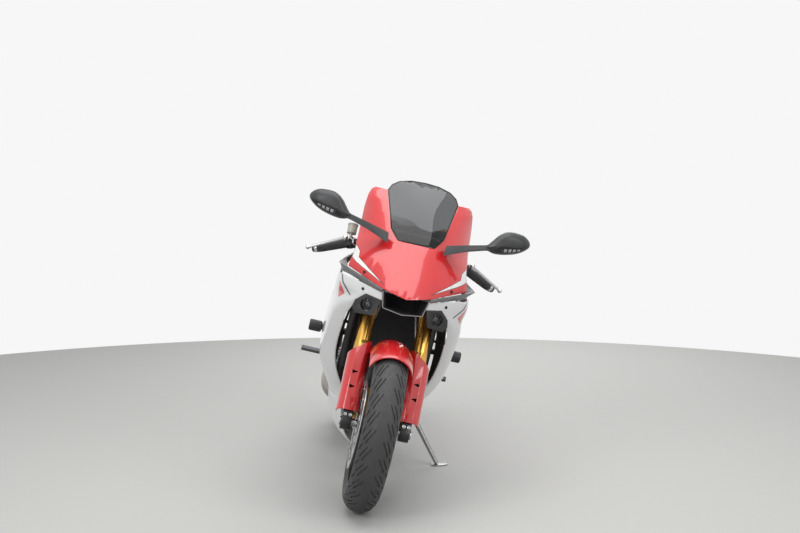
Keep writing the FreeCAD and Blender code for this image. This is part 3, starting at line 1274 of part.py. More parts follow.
def fairing_stay():
    """Stay that carries the nose, the mirrors, the instruments and the intake from the steering head."""
    foot, top = steering_head()
    knee = Vector(24, 172, 600)
    left = [rod((foot + top) * 0.5 + Vector(20, -31, 4), knee, 7), rod(knee, Vector(108, 118, 648), 7),
            Part.makeSphere(7, knee)]
    cross = rod(knee, Vector(-knee.x, knee.y, knee.z), 7)
    drop = rod(Vector(0, knee.y, knee.z), Vector(0, 122, 466), 8)
    mirrored = [piece.mirror(Vector(), Vector(1, 0, 0)) for piece in left]
    stay = cross.fuse(left + mirrored + [drop])
    held = [PIECES[name][0].Shape for name in ("main_frame", "nose_cowl", "instrument_panel", "air_intake")]
    stay = stay.cut(held)
    shaped("fairing_stay", max(stay.Solids, key=lambda part: part.Volume).removeSplitter())


def inner_panels():
    """Inner panels that close the side cowls towards the radiator."""
    rows = []
    for height, front, rear in ((480, (140, 66), (159, 330)), (406, (170, 88), (160, 326)),
                                (311, (188, 164), (172, 320)), (211, (188, 249), (178, 330)),
                                (154, (178, 284), (176, 344))):
        middle = ((front[0] + rear[0]) / 2 + 3, (front[1] + rear[1]) / 2)
        rows.append([Vector(across, back, height) for across, back in (front, middle, rear)])
    panel = curved_sheet(rows, 2.5, lambda point: Vector(-point.x, 0, 0))
    held = [PIECES[name][0].Shape for name in ("side_cowls", "headlamp_pods", "radiator", "main_frame")]
    panel = panel.cut(held)
    shaped("inner_panels", both_sides(max(panel.Solids, key=lambda part: part.Volume)))


def cowl_stays():
    """Stays from the frame to the radiator, and from the radiator to the side cowls."""
    upper = rod(Vector(150, 322, 385), Vector(94, 425, 490), 7)
    outer = rod(Vector(164, 342, 300), Vector(260, 342, 300), 6)
    held = [PIECES[name][0].Shape for name in ("main_frame", "radiator", "side_cowls", "inner_panels")]
    sides = []
    for stay in (upper, outer):
        sides.append(max(stay.cut(held).Solids, key=lambda part: part.Volume))
    shaped("cowl_stays", both_sides(Part.makeCompound(sides)))


def crash_bobbins():
    """Crash bobbins on stems from the engine through the side cowls."""
    reach = size("puck_reach")
    place = Vector(0, size("puck_y"), size("puck_z"))
    root = place + Vector(113.3, 0, 0)
    stem = rod(root, place + Vector(reach - 48, 0, 0), 11)
    collar = rod(place + Vector(reach - 50, 0, 0), place + Vector(reach - 46, 0, 0), size("puck_radius - 4"))
    puck = rod(place + Vector(reach - 46, 0, 0), place + Vector(reach, 0, 0), size("puck_radius"))
    puck = puck.makeFillet(6, [edge for edge in puck.Edges if edge.CenterOfMass.x > reach - 2 and edge.Closed])
    shaped("crash_bobbins", both_sides(stem.fuse([collar, puck]).removeSplitter()))


def rearsets():
    """Foot rests with their heel plates and pedals."""
    plate = side_prism([(790, 190), (850, 214), (900, 160), (900, 70), (872, 52), (846, 76), (820, 110)],
                       152, 160)
    standoff = rod(Vector(98.3, 842, 196), Vector(156, 842, 196), 9)
    second = rod(Vector(98.3, 812, 190), Vector(156, 812, 190), 9)
    peg = rod(Vector(158, 868, 84), Vector(size("peg_reach"), 872, 84), 11)
    lever = rod(Vector(165, 868, 84), Vector(170, 730, 70), 6)
    toe = rod(Vector(168, 734, 70), Vector(206, 734, 70), 8)
    left = plate.fuse([standoff, second, peg, lever, toe]).removeSplitter()
    shaped("rearsets", both_sides(left))


def build():
    """Make every sub-part."""
    rim("front", LEVEL)
    tyre("front", LEVEL)
    rim("rear", REAR_WHEEL)
    tyre("rear", REAR_WHEEL)
    paired("front_discs", braking_disc("front_disc", LEVEL, "front_disc_place", "front_disc_radius"))
    braking_disc("rear_disc", REAR_WHEEL, "-rear_disc_place", "rear_disc_radius")
    for make in (front_axle, fork_legs, fork_tubes, fork_clamps, handlebars, front_fender, front_calipers,
                 brake_hoses, main_frame, side_stand, engine, radiator, header_pipes, silencer, tank_and_cap,
                 seats_and_tail, swingarm, drive_chain, rear_sprocket, rear_caliper, rear_hugger, rear_shock,
                 nose_cowl, windscreen, side_cowls, nose_trims, headlamps, air_intake, mirrors,
                 instrument_panel, fairing_stay, inner_panels, cowl_stays, crash_bobbins, rearsets):
        make()


def place():
    """Lean every sub-part, and put the middle of the whole bike's footprint at the origin."""
    box = FreeCAD.BoundBox()
    for piece, frame in PIECES.values():
        shape = piece.Shape.copy()
        shape.Placement = PARKED * frame * shape.Placement
        box.add(shape.optimalBoundingBox(False, False))
    shift = Placement(Vector(-box.Center.x, -box.Center.y, -box.ZMin), Rotation())
    for piece, frame in PIECES.values():
        piece.Placement = shift * PARKED * frame * piece.Placement


def write():
    """Check every sub-part and write it to its file."""
    doc.recompute()
    faults = [item.Label for item in doc.Objects if {"Invalid", "Error"} & set(item.State)]
    if faults:
        raise RuntimeError("failed objects: " + ", ".join(faults))
    os.makedirs("parts", exist_ok=True)
    for label, (piece, frame) in PIECES.items():
        if piece.Shape.isNull() or not piece.Shape.isValid() or not piece.Shape.Solids:
            raise RuntimeError("bad shape: " + label)
        piece.Shape.exportStep(f"parts/{label}.step")


build()
doc.recompute()
place()
write()
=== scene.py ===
"""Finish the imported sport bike: its surfaces, moulded details, lamps, floor and camera."""

import json
import math

import bmesh
import bpy
from bpy.props import FloatProperty, FloatVectorProperty, IntProperty, PointerProperty
from mathutils import Matrix, Vector
from mathutils.bvhtree import BVHTree


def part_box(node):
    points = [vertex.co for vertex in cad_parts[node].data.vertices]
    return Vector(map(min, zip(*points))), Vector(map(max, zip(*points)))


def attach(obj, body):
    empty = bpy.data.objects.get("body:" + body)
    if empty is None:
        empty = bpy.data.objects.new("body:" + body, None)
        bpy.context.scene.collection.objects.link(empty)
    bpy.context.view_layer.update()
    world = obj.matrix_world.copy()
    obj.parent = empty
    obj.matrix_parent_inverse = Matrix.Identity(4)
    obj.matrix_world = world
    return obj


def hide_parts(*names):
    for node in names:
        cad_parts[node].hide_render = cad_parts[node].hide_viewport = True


bl_info = {
    "name": "Sport Bike Finish",
    "version": (1, 0, 0),
    "blender": (4, 5, 0),
    "location": "View3D > Sidebar > Sport Bike",
    "description": "Finishes a parked sport bike and lights it in a studio",
    "category": "Object",
}

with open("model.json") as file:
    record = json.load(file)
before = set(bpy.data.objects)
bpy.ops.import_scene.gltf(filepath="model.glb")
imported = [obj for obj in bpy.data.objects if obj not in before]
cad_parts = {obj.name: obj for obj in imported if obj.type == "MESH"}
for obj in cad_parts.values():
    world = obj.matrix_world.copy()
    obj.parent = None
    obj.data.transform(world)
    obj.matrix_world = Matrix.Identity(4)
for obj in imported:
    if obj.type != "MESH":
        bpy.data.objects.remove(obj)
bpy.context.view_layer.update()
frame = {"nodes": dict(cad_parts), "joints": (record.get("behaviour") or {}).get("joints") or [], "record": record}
BODY_OF = {node: body for body, nodes in frame["record"]["behaviour"]["bodies"].items() for node in nodes}


def joint(name):
    """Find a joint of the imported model."""
    return next(entry for entry in frame["joints"] if entry["name"] == name)


def axes(across, up_hint, centre):
    """Build a frame whose X is across and whose Z is nearest to a direction."""
    across = across.normalized()
    back = up_hint.cross(across).normalized()
    up = across.cross(back)
    matrix = Matrix((across, back, up)).transposed().to_4x4()
    matrix.translation = centre
    return matrix


AXLE = Vector(joint("front_wheel_spin")["pos_m"])
REAR_AXLE = Vector(joint("rear_wheel_spin")["pos_m"])
ACROSS = Vector(joint("front_wheel_spin")["axis"])
STEERING = Vector(joint("steering")["axis"])
RISE = 0.02
SLOPE = math.atan2(RISE, math.sqrt((REAR_AXLE - AXLE).length_squared - RISE ** 2))
ALONG = Matrix.Rotation(-SLOPE, 3, ACROSS) @ (REAR_AXLE - AXLE).normalized()
BIKE = axes(ACROSS, ACROSS.cross(ALONG), AXLE)
FORK = axes(ACROSS, STEERING, AXLE)
REAR = BIKE.copy()
REAR.translation = REAR_AXLE
UPRIGHT = Matrix.Identity(4)
SIDES = (1, -1)

# A millimetre in metres, and a metre in millimetres

MM = 0.001
METRE = 1000

# Graphics in the bike's own frame, as (across, up) seen from the front, the side panels as (back, up)

STRIPES = (((97, 507), (195, 550), (209, 560), (187, 565)), ((187, 565), (209, 560), (203, 602), (188, 586)))
STRIPE_LINE = 1.8
ACCENTS = (((207, 428), (226, 404), (234, 468)),)
ACCENT_LINES = (((186, 430), (189, 428), (223, 463), (220, 467)),
                ((220, 467), (223, 463), (232, 490), (229, 492)))
ACCENT_GROWTH = 0.4
SIDE_PANELS = (((262, 398), (330, 392), (520, 466), (500, 492), (250, 492)),)
SCREEN_EDGE = ((0, 640), (67, 655), (98, 690), (134, 816), (122, 838), (96, 856), (52, 867), (0, 870),
               (-40, 870), (-40, 640))
SCREEN_LINE = 5.0
SIGNAL_LENS = ((292, 686), (342, 694), (386, 715), (398, 729), (300, 716), (278, 700))
SIGNAL_LIGHTS = ((306, 697), (342, 703), (372, 714), (374, 720), (306, 708))
DISPLAY_SCALE = ((-60, 661), (60, 661), (60, 669), (-60, 669))
DISPLAY_FIELD = ((-34, 632), (34, 632), (34, 654), (-34, 654))

# Places of the details in millimetres: three numbers are (across, back, up) on the positive side,
# a cover's are its side, the back and up of its middle, and the radius and count of its bolts

LAMP = (127, 22, 416)
LAMP_WAY = (0.34, -0.92, -0.16)
LAMP_SOCKET = 22.4
INTAKE_LIP = ((0, 2.0, 409.6), (69, -1.2, 421), (71, -1.6, 422), (83, -17.5, 479))
INTAKE_MESH_BACK = 58
INTAKE_MESH_UPS = (419.5, 471)
INTAKE_FOAM = (0, 104, 449)
LOUVRE_BACK = 416
LOUVRE_UPS = (300, 340, 380, 420)
COWL_FOOT = (226, 268)
COWL_FLARE = 0.055
RADIATOR = (0, 315, 262)
RADIATOR_SLANT = math.radians(8)
BAR_START = Vector((105, 42.5, 719))
BAR_SWEEP = math.radians(33)
BAR_DROP = math.radians(10)
BAR_WAY = Vector((math.cos(BAR_SWEEP) * math.cos(BAR_DROP), math.sin(BAR_SWEEP) * math.cos(BAR_DROP),
                  -math.sin(BAR_DROP)))
GRIP_START = 153
POD_ALONG = -16
PANEL = Vector((0, 150, 648))
PANEL_SLANT = math.radians(25)
DISC_BUTTON_ACROSS = 67.5
DISC_BOLT_ACROSS = 66.3
REAR_BUTTON_ACROSS = -105.5
ENGINE_COVERS = ((-1, 606, 92, 60, 8), (1, 520, 90, 48, 6))
PINCH_BOLTS = ((96, -27.6, 20), (114, -27.6, 20))
CALIPER_CAPS = ((91, 68, 70), (91, 68, 116))
COWL_BOLTS = (("nose_cowl", 158, 522), ("side_cowls", 150, 466))
FUEL_CAP = (560, 673.2)
STEM_NUT = (0, 35, 768)
MIRROR_STEM = 244
REAR_SIGNALS = (106, 500)
RAY_ACROSS = 320
RAY_BACK = -300

# Measures of the modelling

CREASE = 35.0
FLAT = 0.6
FACING = 0.98
MERGE = 0.00002
SEAT_VOXEL = 0.005
SEAT_SHRINK = 0.0025
SEAT_FRAMES = 20
WALL_SWELL = 5.5
TREAD_BLOCK = 20

# The studio: each lamp's name, place, aim, width and power, then the camera

LAMPS = (
    ("overhead", (0.0, -0.6, 3.4), (0.0, 0.2, 0.4), 3.2, 80),
    ("front_left", (-2.6, -3.6, 2.4), (0.0, -0.4, 0.5), 1.8, 55),
    ("front_right", (2.6, -3.6, 2.2), (0.0, -0.4, 0.5), 1.8, 45),
    ("behind", (0.8, 3.4, 2.4), (0.0, 0.4, 0.6), 2.0, 50),
)
WORLD_LIGHT = 0.42
WORLD_SEEN = 0.93
CAMERA_FROM_AXLE = Vector((-0.1314, -4.877, 1.0548))
CAMERA_TURN = -0.045
CAMERA_TILT = -0.099
CAMERA_LENS = 63.45
CAMERA_SENSOR = 36

REMADE = ("rider_seat", "pillion_seat", "front_tyre", "rear_tyre", "headlamp_lenses")


def spot(across, back, up):
    """Give a place in millimetres in metres."""
    return Vector((across, back, up)) * MM


def aimed(matrix, centre, way):
    """Build a pose at a place in millimetres in one of the bike's frames, its Z along a direction."""
    turn = Vector(way).to_track_quat("Z", "Y").to_matrix().to_4x4()
    return matrix @ Matrix.Translation(spot(*centre)) @ turn


def paired(matrix, places):
    """Turn places and directions of the positive side into poses on both sides."""
    return [aimed(matrix, (side * centre[0], *centre[1:]), (side * way[0], *way[1:]))
            for side in SIDES for centre, way in places]


def ring(matrix, across, reach, count, side, phase=0.0):
    """Give poses round an axle that face a side."""
    poses = []
    for step in range(count):
        angle = 2 * math.pi * step / count + phase
        centre = (across, math.sin(angle) * reach, math.cos(angle) * reach)
        poses.append(aimed(matrix, centre, (side, 0, 0)))
    return poses


class BikeColours(bpy.types.PropertyGroup):
    """Colours of the bike's finishes."""

    red: FloatVectorProperty(name="Red", description="Painted bodywork", subtype="COLOR",
                             default=(0.62, 0.012, 0.016))
    white: FloatVectorProperty(name="White", description="Side cowls and belly pan", subtype="COLOR",
                               default=(0.72, 0.73, 0.735))
    gold: FloatVectorProperty(name="Gold", description="Anodised fork tubes and calipers", subtype="COLOR",
                              default=(0.72, 0.40, 0.09))
    black: FloatVectorProperty(name="Black", description="Moulded black pieces", subtype="COLOR",
                               default=(0.012, 0.012, 0.013))
    tread: FloatVectorProperty(name="Tread", description="Tyre rubber", subtype="COLOR",
                               default=(0.028, 0.028, 0.029))
    carpet: FloatVectorProperty(name="Floor", description="Pale floor", subtype="COLOR",
                                default=(0.50, 0.50, 0.485))


class BikeSizes(bpy.types.PropertyGroup):
    """Sizes of the details that the finish adds."""

    edge: FloatProperty(name="Edge", description="Rounding of hard edges", unit="LENGTH", default=0.0007)
    groove_depth: FloatProperty(name="Groove", description="Depth of the tread's grooves", unit="LENGTH",
                                default=0.0032)
    groove_slant: FloatProperty(name="Slant", description="Run of a groove round the tyre over run across",
                                default=1.7)
    tread_columns: IntProperty(name="Tread columns", description="Columns of faces round a tyre",
                               default=600)
    pad_swell: FloatProperty(name="Seat swell", description="Most that the seat foam may swell",
                             unit="LENGTH", default=0.008)
    floor_reach: FloatProperty(name="Floor", description="Radius of the floor", unit="LENGTH", default=4.1)


def colours():
    """Read the colour settings."""
    return bpy.context.scene.bike_colours


def sizes():
    """Read the size settings."""
    return bpy.context.scene.bike_sizes


# Surfaces


class Surface:
    """A material whose pattern lies in one of the bike's frames."""

    def __init__(self, name, matrix=BIKE, **settings):
        self.material = bpy.data.materials.new(name)
        self.material.use_nodes = True
        self.nodes = self.material.node_tree.nodes
        self.links = self.material.node_tree.links
        self.shader = self.nodes["Principled BSDF"]
        for socket, value in settings.items():
            self.shader.inputs[socket.replace("_", " ")].default_value = value
        inverse = matrix.inverted()
        point = self.node("ShaderNodeMapping")
        point.inputs["Location"].default_value = inverse.translation
        point.inputs["Rotation"].default_value = inverse.to_euler()
        self.join(self.node("ShaderNodeTexCoord").outputs["Object"], point.inputs["Vector"])
        self.place = point.outputs["Vector"]

    def node(self, kind, **settings):
        """Add a node and set its options."""
        made = self.nodes.new(kind)
        for name, value in settings.items():
            setattr(made, name, value)
        return made

    def join(self, output, target):
        """Link two sockets."""
        self.links.new(output, target)

    def apart(self):
        """Split the place into its X, Y and Z."""
        split = self.node("ShaderNodeSeparateXYZ")
        self.join(self.place, split.inputs[0])
        return split.outputs

    def noise(self, scale, detail=3.0, stretch=None):
        """Add a noise pattern in the bike's frame, stretched along its axes if asked."""
        pattern = self.node("ShaderNodeTexNoise")
        pattern.inputs["Scale"].default_value = scale
        pattern.inputs["Detail"].default_value = detail
        source = self.place
        if stretch:
            scaled = self.node("ShaderNodeVectorMath", operation="MULTIPLY")
            scaled.inputs[1].default_value = stretch
            self.join(source, scaled.inputs[0])
            source = scaled.outputs["Vector"]
        self.join(source, pattern.inputs["Vector"])
        return pattern.outputs["Fac"]

    def rough(self, factor, low, high):
        """Lead a pattern, most of which lies between 0.3 and 0.7, to the roughness, from low to high."""
        spread = self.node("ShaderNodeMapRange")
        spread.inputs["From Min"].default_value = 0.3
        spread.inputs["From Max"].default_value = 0.7
        spread.inputs["To Min"].default_value = low
        spread.inputs["To Max"].default_value = high
        self.join(factor, spread.inputs["Value"])
        self.join(spread.outputs["Result"], self.shader.inputs["Roughness"])

    def mixed(self, factor, first, second):
        """Mix two colours, each a value or a socket."""
        mix = self.node("ShaderNodeMix", data_type="RGBA")
        self.join(factor, mix.inputs["Factor"])
        for socket, colour in ((mix.inputs[6], first), (mix.inputs[7], second)):
            if hasattr(colour, "is_linked"):
                self.join(colour, socket)
            else:
                socket.default_value = (*colour, 1)
        return mix.outputs[2]

    def mottled(self, factor, colour, share):
        """Lead a colour that a pattern shades to a share of itself to the shader."""
        self.colour(self.mixed(factor, colour, toned(colour, share)))

    def colour(self, output):
        """Lead a colour to the shader."""
        self.join(output, self.shader.inputs["Base Color"])

    def bump(self, height, depth, strength=1.0):
        """Raise a pattern from the surface by a depth in metres."""
        relief = self.node("ShaderNodeBump")
        relief.inputs["Strength"].default_value = strength
        relief.inputs["Distance"].default_value = depth
        self.join(height, relief.inputs["Height"])
        self.join(relief.outputs["Normal"], self.shader.inputs["Normal"])

    def calc(self, operation, first, second=None):
        """Add a math node whose inputs are numbers or sockets."""
        step = self.node("ShaderNodeMath", operation=operation)
        for socket, value in zip(step.inputs, (first, second)):
            if value is None:
                continue
            if hasattr(value, "is_linked"):
                self.join(value, socket)
            else:
                socket.default_value = value
        return step.outputs[0]

    def inside(self, corners, side=False):
        """Measure the depth in metres inside a convex outline, given anticlockwise in millimetres."""
        parts = self.apart()
        across = parts["Y"] if side else self.calc("ABSOLUTE", parts["X"])
        nearest = None
        for start, end in zip(corners, corners[1:] + corners[:1]):
            edge = Vector((end[0] - start[0], end[1] - start[1])).normalized()
            flat = self.calc("MULTIPLY", across, -edge.y)
            depth = self.calc("ADD", flat, self.calc("MULTIPLY", parts["Z"], edge.x))
            depth = self.calc("ADD", depth, (start[0] * edge.y - start[1] * edge.x) * MM)
            nearest = depth if nearest is None else self.calc("MINIMUM", nearest, depth)
        return nearest

    def masked(self, corners, level=0.0, side=False):
        """Mask an outline, shrunk by a level in millimetres, seen from the front or the side."""
        return self.calc("GREATER_THAN", self.inside(corners, side), level * MM)

    def bars(self, count, gap):
        """Mask upright bars, a count of them in a metre across, a gap's share apart."""
        across = self.calc("ABSOLUTE", self.apart()["X"])
        steps = self.calc("FRACT", self.calc("MULTIPLY", across, count))
        return self.calc("GREATER_THAN", steps, gap)


def toned(colour, share, lift=0.0):
    """Give a colour at a share of its brightness, lifted a little if asked."""
    return [part * share + lift for part in colour]


def paint(name, colour, marks=()):
    """Gloss paint with a trace of orange peel; marks are outlines, a colour, a growth and side or not."""
    surface = Surface(name, Roughness=0.32, Coat_Weight=1.0, Coat_Roughness=0.04)
    shade = surface.mixed(surface.noise(7.0), colour, toned(colour, 0.93))
    for outlines, tint, growth, side in marks:
        for corners in outlines:
            shade = surface.mixed(surface.masked(corners, -growth, side), shade, tint)
    surface.colour(shade)
    surface.bump(surface.noise(420.0, 1.0), 0.00002)
    return surface


def moulded(name, colour, grain=0.00006, roughness=0.5):
    """Moulded plastic with a fine grain."""
    surface = Surface(name, Roughness=roughness)
    surface.colour(surface.mixed(surface.noise(40.0), colour, toned(colour, 1.6, 0.004)))
    surface.rough(surface.noise(300.0, 4.0), roughness - 0.08, roughness + 0.08)
    surface.bump(surface.noise(1500.0, 2.0), grain)
    return surface


def alloy(name, colour, roughness=0.38, grain=0.00008):
    """Cast or machined alloy."""
    surface = Surface(name, Metallic=1.0)
    surface.mottled(surface.noise(18.0), colour, 0.82)
    surface.rough(surface.noise(160.0, 5.0), roughness - 0.07, roughness + 0.1)
    surface.bump(surface.noise(900.0, 2.0), grain)
    return surface


def turned(name, colour, roughness, matrix, stretch):
    """Turned metal with fine tool marks round its axis."""
    surface = Surface(name, matrix, Metallic=1.0)
    marks = surface.noise(260.0, 4.0, stretch)
    surface.mottled(marks, colour, 0.93)
    surface.rough(marks, roughness - 0.03, roughness + 0.05)
    surface.bump(marks, 0.000001)
    return surface


def ground_disc():
    """Ground steel whose marks run round the front axle."""
    surface = Surface("ground_steel", Metallic=1.0)
    parts = surface.apart()
    squares = [surface.calc("POWER", parts[axis], 2.0) for axis in "YZ"]
    reach = surface.calc("POWER", surface.calc("ADD", *squares), 0.5)
    rings = surface.node("ShaderNodeTexNoise", noise_dimensions="1D")
    rings.inputs["Scale"].default_value = 1400.0
    surface.join(reach, rings.inputs["W"])
    surface.colour(surface.mixed(rings.outputs["Fac"], (0.42, 0.42, 0.43), (0.60, 0.60, 0.61)))
    surface.rough(rings.outputs["Fac"], 0.24, 0.4)
    surface.bump(rings.outputs["Fac"], 0.00002)
    return surface


def rubber(name, colour):
    """Rubber with a dull bloom."""
    surface = Surface(name)
    surface.mottled(surface.noise(26.0, 5.0), colour, 2.1)
    surface.rough(surface.noise(120.0, 4.0), 0.54, 0.74)
    surface.bump(surface.noise(1100.0, 2.0), 0.00005)
    return surface


def tyre_rubber():
    """Tyre rubber with a dull bloom and fine mould marks."""
    surface = Surface("tyre_rubber")
    surface.mottled(surface.noise(26.0, 5.0), colours().tread, 1.9)
    surface.rough(surface.noise(120.0, 4.0), 0.5, 0.72)
    surface.bump(surface.noise(900.0, 3.0), 0.00008)
    return surface


def seat_cover():
    """Seat vinyl with a fine leather grain."""
    surface = Surface("seat_cover", Sheen_Weight=0.2)
    cells = surface.node("ShaderNodeTexVoronoi", feature="DISTANCE_TO_EDGE")
    cells.inputs["Scale"].default_value = 620.0
    surface.join(surface.place, cells.inputs["Vector"])
    surface.colour(surface.mixed(surface.noise(30.0), (0.016, 0.016, 0.017), (0.03, 0.03, 0.031)))
    surface.rough(surface.noise(200.0), 0.52, 0.68)
    surface.bump(cells.outputs["Distance"], 0.0003, 0.6)
    return surface


def clear_pane(name, colour, roughness=0.02, outline=None, rim=None):
    """Clear, smoked or tinted plastic, with a dark line along an outline if one is given."""
    surface = Surface(name, Roughness=roughness, IOR=1.4, Transmission_Weight=1.0)
    shade = surface.mixed(surface.noise(9.0), colour, toned(colour, 0.96))
    if outline:
        shade = surface.mixed(surface.masked(outline, SCREEN_LINE), rim, shade)
    surface.colour(shade)
    return surface


def mirror_shell():
    """Satin mirror housing with the turn signal's dark lens and its row of lights below."""
    surface = Surface("mirror_shell")
    lens = surface.masked(SIGNAL_LENS)
    segments = surface.calc("MULTIPLY", surface.masked(SIGNAL_LIGHTS), surface.bars(62.0, 0.35))
    satin = surface.mixed(surface.noise(40.0), (0.022, 0.023, 0.025), (0.034, 0.035, 0.037))
    glossy = surface.mixed(lens, satin, (0.006, 0.006, 0.007))
    surface.colour(surface.mixed(segments, glossy, (0.32, 0.33, 0.35)))
    roughness = surface.calc("SUBTRACT", 0.42, surface.calc("MULTIPLY", lens, 0.34))
    surface.join(roughness, surface.shader.inputs["Roughness"])
    surface.bump(surface.noise(1500.0, 2.0), 0.00003)
    return surface


def braided_hose():
    """Pale braided steel under a clear sleeve, darker between the strands as painted shade."""
    surface = Surface("braided_hose", FORK, Metallic=0.7, Coat_Weight=0.5, Coat_Roughness=0.1)
    weave = surface.node("ShaderNodeTexVoronoi", feature="F1", distance="CHEBYCHEV")
    weave.inputs["Scale"].default_value = 700.0
    surface.join(surface.place, weave.inputs["Vector"])
    # the weave's cells are pale in the middle and painted darker towards their edges, as shade between the strands
    surface.colour(surface.mixed(weave.outputs["Distance"], (0.52, 0.53, 0.54), (0.22, 0.23, 0.24)))
    surface.rough(surface.noise(200.0), 0.3, 0.45)
    surface.bump(weave.outputs["Distance"], 0.0003)
    return surface


def finned(name, colour):
    """Dark alloy core with upright fins, the gaps between the fins painted darker as shade."""
    surface = Surface(name, Metallic=1.0)
    fins = surface.node("ShaderNodeTexWave", wave_type="BANDS", bands_direction="X")
    fins.inputs["Scale"].default_value = 130.0
    surface.join(surface.place, fins.inputs["Vector"])
    # the bands between the fins are painted darker, as the shade in the gaps
    surface.colour(surface.mixed(fins.outputs["Fac"], toned(colour, 0.3), colour))
    surface.rough(surface.noise(90.0), 0.42, 0.6)
    surface.bump(fins.outputs["Fac"], 0.0012)
    return surface


def display_glass():
    """Dark display with a plain bar scale above a pale field."""
    surface = Surface("display_glass", Roughness=0.08, Coat_Weight=1.0, Coat_Roughness=0.02)
    scale = surface.calc("MULTIPLY", surface.masked(DISPLAY_SCALE), surface.bars(125.0, 0.4))
    shade = surface.mixed(surface.noise(50.0), (0.010, 0.011, 0.013), (0.016, 0.017, 0.019))
    shade = surface.mixed(surface.masked(DISPLAY_FIELD), shade, (0.10, 0.115, 0.12))
    surface.colour(surface.mixed(scale, shade, (0.45, 0.47, 0.48)))
    return surface


# Pieces


def only(piece):
    """Select one object and nothing else."""
    bpy.ops.object.select_all(action="DESELECT")
    piece.select_set(True)
    bpy.context.view_layer.objects.active = piece


def fixed():
    """Put the place of the selected objects into their meshes."""
    bpy.ops.object.transform_apply(location=True, rotation=True, scale=True)


def clothe(piece, surface):
    """Give a piece one surface."""
    piece.data.materials.clear()
    piece.data.materials.append(surface.material)


def settle(piece, name, body, surface):
    """Name a finished piece, put its place into its mesh and let it ride on a body."""
    only(piece)
    fixed()
    piece.name = name
    piece.data.name = name
    clothe(piece, surface)
    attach(piece, body)
    return piece


def soften(piece, width, segments=2, angle=CREASE):
    """Round the edges sharper than an angle in degrees by a width in metres, and smooth the faces."""
    if width:
        bevel = piece.modifiers.new("Edges", "BEVEL")
        bevel.width = width
        bevel.segments = segments
        bevel.limit_method = "ANGLE"
        bevel.angle_limit = math.radians(angle)
        bevel.use_clamp_overlap = True
        bpy.ops.object.modifier_apply(modifier="Edges")
    bpy.ops.object.shade_smooth_by_angle(angle=math.radians(angle))


def refine(node, edge):
    """Stand a copy of a CAD node in its place, merged, with rounded edges and smooth faces."""
    piece = bpy.data.objects.new(node + "_finished", frame["nodes"][node].data.copy())
    bpy.context.scene.collection.objects.link(piece)
    only(piece)
    bpy.ops.object.mode_set(mode="EDIT")
    bpy.ops.mesh.select_all(action="SELECT")
    bpy.ops.mesh.remove_doubles(threshold=MERGE)
    bpy.ops.mesh.dissolve_limited(angle_limit=math.radians(FLAT))
    bpy.ops.object.mode_set(mode="OBJECT")
    soften(piece, edge)
    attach(piece, BODY_OF[node])
    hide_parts(node)
    return piece


def rod(radius, depth, up=0, sides=32):
    """Add an upright cylinder in millimetres with its middle at a height, and edit it."""
    bpy.ops.object.select_all(action="DESELECT")
    bpy.ops.mesh.primitive_cylinder_add(vertices=sides, radius=radius * MM, depth=depth * MM,
                                        location=spot(0, 0, up))
    bpy.ops.object.mode_set(mode="EDIT")
    return bpy.context.object


def slab(size, pose=UPRIGHT):
    """Add a block in millimetres at a pose, and edit it."""
    bpy.ops.object.select_all(action="DESELECT")
    bpy.ops.mesh.primitive_cube_add(size=1, location=pose.to_translation(), rotation=pose.to_euler(),
                                    scale=Vector(size) * MM)
    bpy.ops.object.transform_apply(location=False, rotation=False, scale=True)
    bpy.ops.object.mode_set(mode="EDIT")
    return bpy.context.object


def pick(piece, test):
    """Select the faces that pass a test of their middle, in millimetres, and their normal."""
    bpy.ops.mesh.select_mode(type="FACE")
    bpy.ops.mesh.select_all(action="DESELECT")
    form = bmesh.from_edit_mesh(piece.data)
    form.normal_update()
    for face in form.faces:
        face.select_set(bool(test(face.calc_center_median() * METRE, face.normal)))
    bmesh.update_edit_mesh(piece.data)


def pick_points(piece, test):
    """Select the vertices that pass a test."""
    form = bmesh.from_edit_mesh(piece.data)
    for vertex in form.verts:
        vertex.select_set(test(vertex))
    form.select_flush_mode()
    bmesh.update_edit_mesh(piece.data)


def front(piece):
    """Select the flat front of a new piece."""
    pick(piece, lambda middle, normal: normal.z > FACING)


def inset(width):
    """Inset the selected faces by a width in millimetres."""
    bpy.ops.mesh.inset(thickness=width * MM, depth=0, use_even_offset=True)


def raised(height):
    """Extrude the selected faces along their normals by a height in millimetres."""
    bpy.ops.mesh.extrude_region_shrink_fatten(TRANSFORM_OT_shrink_fatten={"value": height * MM})


def narrowed(share):
    """Scale the selected faces about their middle."""
    bpy.ops.transform.resize(value=(share, share, share))


def opened(piece, width):
    """Cut through a new rod and leave a ring of a width in millimetres."""
    pick(piece, lambda middle, normal: abs(normal.z) > FACING)
    inset(width)
    bpy.ops.mesh.bridge_edge_loops()


def rounded(piece, width=0.6, segments=2, angle=CREASE):
    """Leave edit mode, round the edges by a width in millimetres and put the place into the mesh."""
    bpy.ops.object.mode_set(mode="OBJECT")
    only(piece)
    soften(piece, width * MM, segments, angle)
    fixed()


def repeat(piece, poses, name, body, surface):
    """Stand a copy of a piece at every pose and settle them as one."""
    twins = []
    for pose in poses:
        twin = piece.copy()
        twin.data = piece.data.copy()
        twin.matrix_world = pose
        bpy.context.scene.collection.objects.link(twin)
        twins.append(twin)
    bpy.data.objects.remove(piece)
    only(twins[0])
    for twin in twins:
        twin.select_set(True)
    bpy.ops.object.join()
    return settle(bpy.context.object, name, body, surface)


def socket_bolt(radius, height):
    """Model a cap bolt with a round head and a socket, upright at the middle of the scene."""
    bolt = rod(radius, height + 2, height / 2 - 1, 24)
    front(bolt)
    inset(radius * 0.42)
    raised(-height * 0.6)
    narrowed(0.9)
    rounded(bolt, 0.5)
    return bolt


